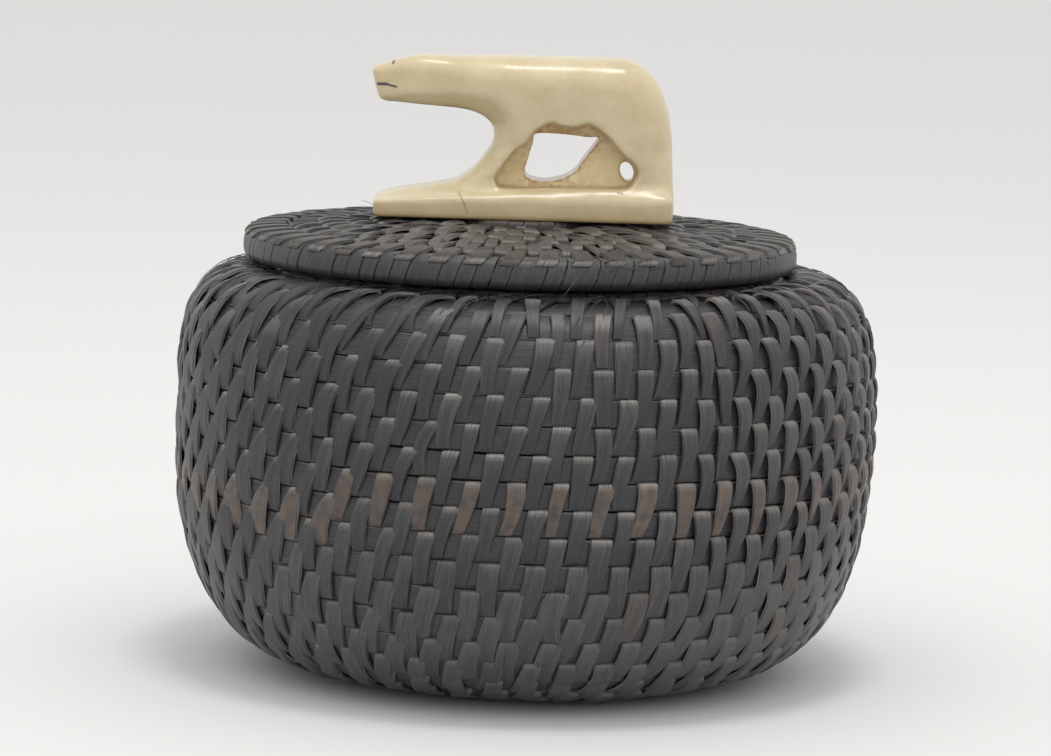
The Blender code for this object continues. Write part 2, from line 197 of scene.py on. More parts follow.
# Sizes and places in metres, and power in watts.
LAMPS = {
    "overhead_lamp": {"size": 0.70, "height": 0.72, "forward": 0.30, "power": 0.9},
    "front_lamp": {"size": 0.90, "height": 0.45, "forward": 1.10, "power": 0.6, "aside": 0.30},
    "glint_lamp": {"size": 0.18, "height": 0.90, "forward": 0.14, "power": 1.7, "aside": 0.05},
}
SURROUND_LIGHT = 0.93


def soft_lamp(name, size, height, forward, power, aside=0.0):
    """A square lamp that faces the middle of the basket."""
    lamp = bpy.data.objects.new(name, bpy.data.lights.new(name, "AREA"))
    lamp.data.size = size
    lamp.data.energy = power
    lamp.location = (aside, -forward, height)
    aim = Vector((0, 0, CAMERA_AIM_HEIGHT)) - lamp.location
    lamp.rotation_euler = aim.to_track_quat("-Z", "Y").to_euler()
    bpy.context.scene.collection.objects.link(lamp)


for lamp_name, lamp_values in LAMPS.items():
    soft_lamp(lamp_name, **lamp_values)

world = bpy.data.worlds.new("surround")
world.use_nodes = True
surround = world.node_tree.nodes["Background"].inputs
surround["Color"].default_value = (1, 1, 1, 1)
surround["Strength"].default_value = SURROUND_LIGHT
bpy.context.scene.world = world
bpy.context.scene.view_settings.view_transform = "Standard"

bpy.ops.mesh.primitive_plane_add(size=FLOOR_SIZE)
floor = bpy.context.object
floor.name = "floor"
floor_paint = new_material("pale_matt_paper", Base_Color=linear("#e2e1df"), Roughness=0.9)[0]
floor.data.materials.append(floor_paint)
print("lamps:", list(LAMPS))

# %% [markdown]
# ## From arrays to pieces
#
# Every strip is a small closed band, and there are far too many to model by hand. So surfaces are
# worked out as numpy arrays, all strips at once, and handed to Blender in one go. A band or a tube
# is a grid of points whose rows and columns close on themselves, and this cell numbers the faces of
# such grids.


# %% Meshes from arrays
def around_axis(radius, angle, height, centre_x=0.0):
    """Points at these radii and heights, turned by these angles about an upright axis."""
    parts = (radius * np.cos(angle) + centre_x, radius * np.sin(angle), height)
    return np.stack(np.broadcast_arrays(*parts), axis=-1)


def unit(steps):
    """The same directions at length one."""
    return steps / np.linalg.norm(steps, axis=-1, keepdims=True)


def grid_faces(copies, rows, columns, close_rows=True):
    """Corner numbers of the four-sided faces of many equal grids, whose points are stored copy by
    copy and row by row. The last column joins the first, and where the rows close, so do they."""
    row = np.arange(rows if close_rows else rows - 1)[:, None]
    column = np.arange(columns)[None, :]
    next_row, next_column = (row + 1) % rows, (column + 1) % columns
    around = [(row, column), (row, next_column), (next_row, next_column), (next_row, column)]
    corners = np.stack([r * columns + c for r, c in around], axis=-1).reshape(-1, 4)
    return (np.arange(copies)[:, None, None] * rows * columns + corners).reshape(-1, 4)


def grid_uv(along, across):
    """UV of the corners of such faces. Along gives each copy's row places, with one more where the
    rows close, and across the same for columns. Both are in millimetres, and u runs across."""
    start, end = along[:, :-1, None], along[:, 1:, None]
    left, right = across[:, None, :-1], across[:, None, 1:]
    corners = [(left, start), (right, start), (right, end), (left, end)]
    pairs = [np.stack(np.broadcast_arrays(*corner), axis=-1) for corner in corners]
    return np.stack(pairs, axis=-2).reshape(-1, 4, 2)


def signed_volume(points, faces):
    """Sum over the faces, cut in triangles from their first corner, of a . (b x c) / 6. It is
    positive where the faces point outwards."""
    first, *others = (points[column] for column in faces.T)
    return sum(np.sum(first * np.cross(b, c)) for b, c in zip(others, others[1:])) / 6


def mesh_piece(name, points_mm, face_sets, finish, uv=None, values=None, crease_degrees=50):
    """Makes an object from points in millimetres and from arrays of faces, one array for each number
    of corners, turned to face outwards. The UV is for the first array. Values are named numbers for
    each point, which the material can read."""
    points = np.asarray(points_mm, float).reshape(-1, 3) * MM
    if sum(signed_volume(points, faces) for faces in face_sets) < 0:
        face_sets = [faces[:, ::-1] for faces in face_sets]
        uv = None if uv is None else uv[:, ::-1]
    sizes = np.concatenate([np.full(len(faces), faces.shape[1]) for faces in face_sets])
    corners = np.concatenate([faces.ravel() for faces in face_sets])
    mesh = bpy.data.meshes.new(name)
    mesh.vertices.add(len(points))
    mesh.vertices.foreach_set("co", points.astype(np.float32).ravel())
    mesh.loops.add(len(corners))
    mesh.loops.foreach_set("vertex_index", corners.astype(np.int32))
    mesh.polygons.add(len(sizes))
    mesh.polygons.foreach_set("loop_start", (np.cumsum(sizes) - sizes).astype(np.int32))
    if uv is not None:
        layer = mesh.uv_layers.new(name="fibre")
        full = np.zeros((len(corners), 2), np.float32)
        full[: face_sets[0].size] = uv.reshape(-1, 2)
        layer.data.foreach_set("uv", full.ravel())
    for label, numbers in (values or {}).items():
        attribute = mesh.attributes.new(label, "FLOAT", "POINT")
        attribute.data.foreach_set("value", np.asarray(numbers, np.float32).ravel())
    mesh.update(calc_edges=True)
    mesh.shade_smooth()
    mesh.set_sharp_from_angle(angle=math.radians(crease_degrees))
    mesh.materials.append(finish)
    piece = bpy.data.objects.new(name, mesh)
    bpy.context.scene.collection.objects.link(piece)
    return piece


def set_down(piece, body, slot, *nodes):
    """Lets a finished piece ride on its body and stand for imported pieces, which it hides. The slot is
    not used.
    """
    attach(piece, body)
    if nodes:
        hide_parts(*nodes)
    print(f"{piece.name}: {len(piece.data.polygons)} faces")


# %% [markdown]
# ## Baleen
#
# Baleen is keratin, like horn or a fingernail. It is nearly black, with brown plates here and there,
# and it splits along fine parallel fibres, which leave faint lengthwise lines and a satin shine.
# Where a strip bends sharply over the rod its surface rubs pale, and the same pale colour paints the
# highlights of the light on its bends and edges. The material reads all this from the strips
# themselves: the UV map runs along the fibre in millimetres, and each strip carries numbers for its
# own tone, with painted light and shade in it, for how brown it is and for where it is pale from
# wear and from painted highlights.

# %% Baleen material
FIBRES_PER_MM = 4.0
FIBRE_STREAK_MM = 9.0
FINE_FIBRES = 2.4
BLOTCH_MM = 1.6
SPECKLE_MM = 0.35
STREAK_CONTRAST = 1.5
DUST_CONTRAST = 0.5
FIBRE_RELIEF = 0.08 * MM


def fibre_noise(tree, across_per_mm, along_mm, detail):
    """Noise drawn out along the fibre: many changes across a strip and few along it."""
    place = node(tree, "UVMap")["UV"]
    drawn_out = node(tree, "Mapping", {"Vector": place, "Scale": (across_per_mm, 1 / along_mm, 1)})
    settings = {"Vector": drawn_out["Vector"], "Scale": 1.0, "Detail": detail, "Roughness": 0.6}
    return node(tree, "TexNoise", settings)[0]


def baleen(name, dark, light, brown, wear_and_highlight, shine):
    """From dark to light by a strip's tone, its fibres and specks of dust. Brown comes in soft
    patches. Places that are rubbed and places with a painted highlight are pale where the fine
    fibres stand up."""
    made, tree, shader = new_material(name, IOR=1.54, Specular_IOR_Level=shine)
    fibres = fibre_noise(tree, FIBRES_PER_MM, FIBRE_STREAK_MM, 3.0)
    place = node(tree, "TexCoord")["Object"]
    blotches = noise(tree, place, BLOTCH_MM, 2.0)
    tone, brownness, rub_and_highlight = [carried(tree, label) for label in ("tone", "brown", "wear_and_highlight")]
    fine = fibre_noise(tree, FINE_FIBRES * FIBRES_PER_MM, FIBRE_STREAK_MM / 3, 1.0)
    both = maths(tree, "ADD", fibres, fine)
    streaks = maths(tree, "MULTIPLY_ADD", both, STREAK_CONTRAST, -STREAK_CONTRAST)
    specks = noise(tree, place, SPECKLE_MM, 1.0)
    dust = maths(tree, "MULTIPLY_ADD", specks, DUST_CONTRAST, -DUST_CONTRAST / 2)
    surface = maths(tree, "ADD", streaks, dust)
    shade = maths(tree, "ADD", tone, surface, clamp=True)
    black = mix_colour(tree, shade, linear(dark), linear(light))
    patchy = graded(tree, blotches, 0.35, 0.6, start=0.35)
    brown_share = maths(tree, "MULTIPLY", brownness, patchy)
    bare = mix_colour(tree, brown_share, black, linear(brown))
    worn = graded(tree, fine, 0.25, 0.55)
    # Pale where rubbed, and painted highlights on bends and edges, broken up by the fine fibres.
    rub_and_highlight_share = maths(tree, "MULTIPLY", rub_and_highlight, worn)
    colour = mix_colour(tree, rub_and_highlight_share, bare, linear(wear_and_highlight))
    gloss = graded(tree, fibres, 0.0, 1.0, start=0.34, end=0.52)
    tree.links.new(gloss, shader.inputs["Roughness"])
    dress(tree, shader, colour, fibres, 0.7, FIBRE_RELIEF)
    return made


# The fifth colour is the pale of wear and of painted highlights.
WALL_BALEEN = baleen("split_baleen_satin", "#212126", "#484645", "#5a4c42", "#96928c", 0.5)
LID_BALEEN = baleen("split_baleen_dusty", "#222224", "#4e4944", "#5f5349", "#9e9a94", 0.24)
print("materials:", WALL_BALEEN.name, LID_BALEEN.name)

# %% [markdown]
# ## The wall as a profile
#
# The basket is round, so its wall is one curve of radius and height turned about the middle. The
# curve runs level from the starter disc, sweeps up round the belly, and turns in to the mouth. Both
# bends are quarters of superellipses, which are fuller than ellipses, as the photograph shows. A
# strip is easiest to describe on the flat: how far along the curve it lies, how far round, and how
# far out from the wall. The wall then carries these three numbers to their place in space.

# %% Wall profiles
WALL_THICKNESS = 3.6
FIT = 0.3
BASE_FLAT_RADIUS = 22.0
BELLY_HEIGHT = 37.6
LOWER_FULLNESS = 2.95
UPPER_FULLNESS = 3.3
LID_RISE = 2.0
LID_EDGE_LIFT = 0.6
PROFILE_LEAD = 4.0

base_disc_low, base_disc_high = box_mm("base_starter_disc")
lid_disc_low, lid_disc_high = box_mm("lid_starter_disc")
mouth_low, mouth_high = box_mm("mouth_rim")
lid_rim_low, lid_rim_high = box_mm("lid_rim")
flange_low, flange_high = box_mm("lid_flange")
BASE_DISC_RADIUS = base_disc_high[0]
LID_DISC_RADIUS = (lid_disc_high[1] - lid_disc_low[1]) / 2
MOUTH_OUTER_RADIUS = mouth_high[0]
BODY_HEIGHT = mouth_high[2]
BELLY_RADIUS = CAD_BOX[1][0] / MM
LID_RADIUS = (lid_rim_high[0] - lid_rim_low[0]) / 2
LID_RIM_SECTION = lid_rim_high[2] - lid_rim_low[2]
LID_RIM_HEIGHT = (lid_rim_low[2] + lid_rim_high[2]) / 2
LID_CENTRE_X = (lid_rim_low[0] + lid_rim_high[0]) / 2


class Wall:
    """A turned surface, read by arc length along its profile. Side says on which side of the walk
    along the profile the outer face lies: 1 for the right hand, as on the body, -1 for the left."""

    def __init__(self, radii, heights, side, centre_x=0.0):
        lead = radii[0] - PROFILE_LEAD
        self.radii = np.concatenate([[lead], radii])
        self.heights = np.concatenate([[heights[0]], heights])
        steps = np.hypot(np.diff(self.radii), np.diff(self.heights))
        self.walked = np.concatenate([[0.0], np.cumsum(steps)]) - PROFILE_LEAD
        self.length = self.walked[-1]
        self.outwards = side * np.gradient(self.heights, self.walked)
        self.upwards = -side * np.gradient(self.radii, self.walked)
        self.centre_x = centre_x

    def radius(self, along):
        return np.interp(along, self.walked, self.radii)

    def place(self, along, angle, out):
        """Point at this arc length and angle, out from the mid-surface along its normal."""
        radius = self.radius(along) + out * np.interp(along, self.walked, self.outwards)
        height = np.interp(along, self.walked, self.heights)
        height = height + out * np.interp(along, self.walked, self.upwards)
        return around_axis(radius, angle, height, self.centre_x)


def superellipse(across, up, fullness, start, end, count):
    """|x / across| ^ fullness + |z / up| ^ fullness = 1, from one angle to another on the right."""
    angle = np.linspace(start, end, count)
    x = np.cos(angle) ** (2 / fullness)
    z = np.sign(np.sin(angle)) * np.abs(np.sin(angle)) ** (2 / fullness)
    return across * x, up * z


def body_wall():
    half = WALL_THICKNESS / 2
    belly = BELLY_RADIUS - half
    mouth = MOUTH_OUTER_RADIUS + FIT
    lower_x, lower_z = superellipse(
        belly - BASE_FLAT_RADIUS, BELLY_HEIGHT - half, LOWER_FULLNESS, -math.pi / 2, 0.0, 80
    )
    upper_x, upper_z = superellipse(
        belly - mouth, BODY_HEIGHT - half - BELLY_HEIGHT, UPPER_FULLNESS, 0.0, math.pi / 2, 60
    )
    radii = np.concatenate([[BASE_DISC_RADIUS + FIT], BASE_FLAT_RADIUS + lower_x, mouth + upper_x[1:]])
    heights = np.concatenate([[half], BELLY_HEIGHT + lower_z, BELLY_HEIGHT + upper_z[1:]])
    return Wall(radii, heights, side=1)


def lid_height(radius):
    """Shallow dome that falls off towards its edge: the edge's lift + rise * (1 - share^3), where
    the share is that of the radius in the rim's."""
    share = radius / (LID_RADIUS - LID_RIM_SECTION / 2)
    return LID_RIM_HEIGHT + LID_EDGE_LIFT + LID_RISE * (1 - share**3)


def lid_wall():
    radii = np.linspace(LID_DISC_RADIUS + FIT, LID_RADIUS - LID_RIM_SECTION - FIT, 40)
    return Wall(radii, lid_height(radii), side=-1, centre_x=LID_CENTRE_X)


BODY = body_wall()
LID = lid_wall()
print("wall lengths, mm:", round(BODY.length, 1), round(LID.length, 1))

# %% [markdown]
# ## The coil
#
# One turn of the rod after another climbs the profile by a steady pitch. At both ends the rod is
# pared thin over a whole turn, so that the coil starts and stops level. A hand-made coil also
# wanders a little, in and out and up and down. The wander is a sum of slow waves of the place along
# the rod, so that neighbouring turns and the strips on them follow the same line.

# %% Coil
COURSE_PITCH = 3.7
TURN_GAP = 0.46
START_WIDTH = 0.5
WANDER_OUT = 0.10
WANDER_ALONG = 0.06


def wave(turn, waves_a_turn, start=0.0):
    """A sine along the rod. The number to a turn is never whole, so that no two turns are alike."""
    return np.sin(2 * math.pi * waves_a_turn * turn + start)


class Coil:
    """A spiral over a wall. Way round is -1 for clockwise seen from above, and 1 the other way."""

    def __init__(self, wall, way_round):
        self.wall = wall
        self.way_round = way_round
        room = wall.length - TURN_GAP - 2 * START_WIDTH
        self.turns = 1 + max(2, round(room / COURSE_PITCH))
        self.pitch = room / (self.turns - 1)
        self.width = self.pitch - TURN_GAP
        self.drift = TURN_GAP + START_WIDTH

    def thinness(self, turn):
        """Share of the full thickness: it falls to a stub over the first and the last turn."""
        taper = np.clip(np.minimum(turn, self.turns - turn), 0, 1)
        return (START_WIDTH + (self.width - START_WIDTH) * taper) / self.width

    def along(self, turn):
        """Arc length of the rod's centre: a short drift in the first turn, then one pitch a turn."""
        edge = self.drift * np.minimum(turn, 1) + self.pitch * np.maximum(turn - 1, 0)
        wander = wave(turn, 2.87) + wave(turn, 5.21, 1.0)
        return edge + self.width * self.thinness(turn) / 2 + WANDER_ALONG * wander

    def out(self, turn):
        """How far the rod's centre wanders out from the mid-surface."""
        return WANDER_OUT * wave(turn, 3.13, 0.5)

    def angle(self, turn):
        return self.way_round * 2 * math.pi * turn

    def turn_at_height(self, height, steps):
        """The whole step round the coil nearest to where it passes this height."""
        profile = self.wall
        along = np.interp(height, profile.heights, profile.walked)
        turn = 1 + (along - self.drift - self.width / 2) / self.pitch
        return round(turn * steps) / steps


BODY_COIL = Coil(BODY, way_round=-1)
LID_COIL = Coil(LID, way_round=1)
BODY_STEPS = 24
BASE_END_HEIGHT = 5.5
ACCENT_HEIGHT = 28.5
BASE_END = BODY_COIL.turn_at_height(BASE_END_HEIGHT, BODY_STEPS)
ACCENT_START = BODY_COIL.turn_at_height(ACCENT_HEIGHT, BODY_STEPS)
ACCENT_END = ACCENT_START + 1
print("turns of the body and the lid:", BODY_COIL.turns, LID_COIL.turns, "brown row:", ACCENT_START)

# %% [markdown]
# ## Sections
#
# Rods, rims and strips are drawn by their sections: closed paths of a few points, made of arcs.


# %% Section paths
def rounded_box(half_first, half_second, bends, steps):
    """Closed path of a box with round corners, counterclockwise from the middle of its right side.
    The bends are the radii of the right top, left top, left bottom and right bottom corners."""
    signs = [(1, 1), (-1, 1), (-1, -1), (1, -1)]
    path = [([half_first], [0.0])]
    for quarter, ((first, second), radius) in enumerate(zip(signs, bends)):
        turn = np.radians(np.linspace(0, 90, steps) + 90 * quarter)
        arc_first = first * (half_first - radius) + radius * np.cos(turn)
        arc_second = second * (half_second - radius) + radius * np.sin(turn)
        path.append((arc_first, arc_second))
    return tuple(np.concatenate(places) for places in zip(*path))


def path_normals(first, second):
    """Outward normals of a closed path that runs counterclockwise: the step from the point before
    to the point after, turned by a right angle to the right, at unit length."""
    step_first = np.roll(first, -1) - np.roll(first, 1)
    step_second = np.roll(second, -1) - np.roll(second, 1)
    size = np.hypot(step_first, step_second)
    return step_second / size, -step_first / size


def path_lengths(first, second):
    """Distance walked to each point of a closed path, and once more round to the first."""
    steps = np.hypot(np.roll(first, -1) - first, np.roll(second, -1) - second)
    return np.concatenate([[0.0], np.cumsum(steps)])


print("points in a rounded box:", len(rounded_box(1, 1, (0.2,) * 4, 3)[0]))

# %% [markdown]
# ## Rods
#
# The rod is a splint with a flat face and softened edges, so nearly as tall as a turn that only a
# thin dark line parts one turn from the next. It shows between the strips, with its fibres running
# round the basket. A curve object with a bevel could make it, but a tube worked out on the wall
# follows the same wander as the strips. Its two ends are closed with one many-sided face each.

# %% Rods
ROD_HALF_HEIGHT = 1.86
ROD_HALF_DEPTH = 0.98
ROD_BEND = 0.22
ROD_THIN_SPOTS = 0.07
ROD_STEPS_PER_TURN = 72
# Strength of the painted highlight on the rods' top edges.
ROD_PAINTED_HIGHLIGHT = 0.7
# Painted shade on the rods on the basket's right.
ROD_PAINTED_SHADE = 0.05


def tube_faces(rows, columns):
    """Faces of one open tube, and the two many-sided faces that close its ends."""
    first = np.arange(columns)[::-1]
    last = np.arange(columns) + (rows - 1) * columns
    return [grid_faces(1, rows, columns, close_rows=False), np.stack([first, last])]


def rod_painted_light_and_shade(turn):
    """Painted light and shade: the rods of the bottom are painted paler, and those on the basket's
    right darker, where the strips stand out most."""
    on_the_right = np.clip(np.cos(turn * 2 * math.pi), 0, 1)
    return np.interp(turn, [10, 15], [0.45, 0.17]) - ROD_PAINTED_SHADE * on_the_right


def rod_piece(name, coil, first, last, tone):
    """A tube along the coil: its centre follows the coil, and its section shrinks where the rod is
    pared. Its face is split thinner here and there, by the square of a slow wave."""
    count = round((last - first) * ROD_STEPS_PER_TURN) + 1
    turn = np.linspace(first, last, count)[:, None]
    section_out, section_along = rounded_box(ROD_HALF_DEPTH, ROD_HALF_HEIGHT, (ROD_BEND,) * 4, 3)
    thin = ROD_THIN_SPOTS * np.maximum(wave(turn, 0.93, 0.4), 0) ** 2
    along = coil.along(turn) + section_along * (1 - thin * (section_out > 0)) * coil.thinness(turn)
    out = coil.out(turn) + section_out * coil.thinness(turn)
    points = coil.wall.place(along, coil.angle(turn), out)
    steps = np.linalg.norm(np.diff(points.mean(axis=1), axis=0), axis=1)
    length = np.concatenate([[0.0], np.cumsum(steps)])
    across = path_lengths(section_out, section_along)
    # Painted highlight: the rod's top outer edge is painted pale where the light catches it.
    top_edge = (section_out > 0) & (section_along > ROD_HALF_HEIGHT - ROD_BEND)
    values = {
        "tone": np.broadcast_to(tone(turn), points.shape[:2]),
        "wear_and_highlight": top_edge * ROD_PAINTED_HIGHLIGHT * RANDOM.uniform(0, 1, (count, 1)),
    }
    faces = tube_faces(*points.shape[:2])
    return mesh_piece(name, points, faces, WALL_BALEEN, grid_uv(length[None], across[None]), values)


for rod_name, rod_coil, rod_start, rod_end, tone_there, rod_body in [
    ("base_rod", BODY_COIL, 0.0, BASE_END, rod_painted_light_and_shade, "basket"),
    ("wall_rod", BODY_COIL, BASE_END, BODY_COIL.turns, rod_painted_light_and_shade, "basket"),
    ("lid_rod", LID_COIL, 0.0, LID_COIL.turns, np.zeros_like, "lid"),
]:
    rod = rod_piece(rod_name, rod_coil, rod_start, rod_end, tone_there)
    set_down(rod, rod_body, "baleen_black")

# %% [markdown]
# ## One strip
#
# A strip goes once round two rods, the new one and the one below it, and comes back inside. So it is
# a closed loop: over the upper rod, down the outer face, under the lower rod, and back up inside. It
# bends sharply over the upper rod, where its lip is pale, partly rubbed and partly a painted
# highlight, and at the bottom the next row has drawn it in and narrow. Its upper half is painted
# lighter and its tucked lower half darker, as painted light and shade. On the left of the basket the
# tops are drawn in instead and the lower ends lie wide on top, like leaves. On the right the lower
# ends run out in points, like claws, and on the bottom of the basket the strips keep their width and
# close up.
#
# Each mark of the loop is a place from the rod it is held by, first along the wall and then out from
# it, and the share of the lower rod in that hold. The loop carries a thin section, nearly flat on
# top, whose sides slope down to the rod so that no gap shows under the strip.

# %% Strip loop and section
STRIP_THICKNESS = 0.34
SECTION_SIDE = np.array([-1.0, -0.88, 0.0, 0.88, 1.0, 0.0])
SECTION_LIFT = np.array([-0.5, 0.44, 0.54, 0.44, -0.5, -1.1]) * STRIP_THICKNESS
# Where across the section the edges are pale: wear and a painted highlight.
SECTION_EDGE_WEAR_AND_HIGHLIGHT = np.array([1.0, 0.14, 0.0, 0.14, 1.0, 0.0])
LOOP_MARKS = [
    (1.80, 0.30, 0), (1.82, 0.98, 0), (1.74, 1.30, 0), (1.54, 1.47, 0), (1.00, 1.60, 0), (0.0, 1.70, 0),
    (-1.0, 1.66, 0), (0.0, 1.50, 0.5), (0.55, 1.34, 1), (-0.6, 1.22, 1), (-1.40, 1.00, 1),
    (-1.66, 0.30, 1), (-1.2, -1.12, 1), (1.2, -1.12, 0),
]
FLUSH_OUT = 1.40
LOOP_ALONG, LOOP_OUT, LOOP_LOWER = np.array(LOOP_MARKS).T
LOOP_FLAT = LOOP_ALONG - LOOP_LOWER * COURSE_PITCH
LOOP_NORMALS = path_normals(LOOP_FLAT, LOOP_OUT)
LOOP_OUTER = np.clip((LOOP_OUT - 0.6) / 0.4, 0, 1)


def on_loop(marks, values):
    """A number for each point of the loop, from values at marks up the wall from the upper rod."""
    return np.interp(LOOP_FLAT, marks, values)


# Painted highlight, partly wear: the strip's lip is pale where it bends over the upper rod.
LOOP_LIP_WEAR_AND_HIGHLIGHT = LOOP_OUTER * on_loop([1.30, 1.54, 1.74], [0.0, 0.4, 1.0])
# Painted glints: where along the loop the strips' bodies carry glints of light.
LOOP_PAINTED_GLINT = LOOP_OUTER * on_loop([-0.8, 0.4, 1.1, 1.6], [0.0, 1.0, 1.0, 0.3])
# Painted light and shade along the loop: the proud upper half lighter, the tucked lower half darker.
LOOP_PAINTED_LIGHT_AND_SHADE = LOOP_OUTER * on_loop([-4.8, -3.4, -1.8, 0.0, 1.4], [-0.42, -0.30, -0.06, 0.08, 0.32])
LOOP_WIDTH = on_loop([-5.3, -3.8, -1.8, 0.0, 1.6], [0.74, 0.80, 0.88, 0.96, 1.04])
LEAF_WIDTH = on_loop([-5.3, -3.5, -1.8, 0.3, 1.7], [1.32, 1.38, 1.34, 1.14, 0.70])
CLAW_WIDTH = on_loop([-5.3, -4.4, -2.6, -0.6, 1.7], [0.24, 0.42, 0.70, 0.88, 0.92])
CLOSE_WIDTH = 1.15
LEAF_OUT = on_loop([-5.1, -4.3, -3.1, -1.9, -1.0, 0.9, 1.6], [0.95, 1.18, 1.32, 1.40, 1.46, 1.38, 1.22])
CLAW_BULGE = 0.22 * LOOP_OUTER * on_loop([-4.4, -2.0, 0.9, 1.7], [0.0, 1.0, 1.0, 0.0])
print("points in a strip's loop:", len(LOOP_ALONG), "and in its section:", len(SECTION_SIDE))

# %% [markdown]
# ## Binding a coil
#
# On the wall of the photographed basket one strip follows another every seven degrees or so. There
# are fifty-two and a half to a turn, and the half sets each row midway between the strips of the row
# below. On the base and the lid the turns are shorter, so there are fewer strips to a turn. Each
# strip leans a little, and no two are quite the same width, length or colour.

# %% Binding
# Lengths are in millimetres, and a pair is the range that each strip draws from.
STRIPS_PER_TURN = 52.5
STRIP_WIDTH = 2.45
SIDE_BOW = 0.38
HALF_BOW_LENGTH = 2.5
LEAST_SIDE_GAP = 0.10
WIDTH_SPREAD = 0.07
LOOSE_NARROWING = 0.4
LEAN_SPREAD = 0.066
SIDE_SPREAD = 0.14
BOW_SPREAD = 0.12
HEIGHT_SPREAD = 0.07
OUT_SPREAD = 0.06
TWIST_SPREAD = 0.05
# How pale the strips' side edges are: wear and a painted highlight.
EDGE_WEAR_AND_HIGHLIGHT = 0.75
# Range of the lips' wear and painted highlight.
LIP_WEAR_AND_HIGHLIGHT = (0.45, 1.0)
# Range of the painted glints' strength; below zero a strip has none.
BODY_PAINTED_GLINT = (-0.6, 0.9)
# Share of the lip's wear and painted highlight that flush strips keep.
FLUSH_LIP_WEAR_AND_HIGHLIGHT = 0.4
CLOSE_EVENNESS = 0.6
LEAF_EVENNESS = 0.8
PLAIN_WAYS = {"bow": 0, "relief": 1, "close": 0, "leaf": 0, "claw": 0, "worn": 0, "loose": 1}


def strip_turns(coil, strips_at, first, last):
    """The turn of each strip: strips_at, the number to a turn, summed up along the coil, and read
    back where the sum reaches each whole number."""
    turn = np.linspace(1.0, coil.turns, 4000)
    count = np.concatenate([[0.0], np.cumsum(strips_at(turn[1:]) * np.diff(turn))])
    found = np.interp(np.arange(1, int(count[-1])), count, turn)
    return found[(found > first) & (found <= last)]


def carried_section(half_width):
    """The section's places across each strip, and its lift from the strip's middle."""
    return half_width[:, None, None] * SECTION_SIDE, SECTION_LIFT[None, None, :]


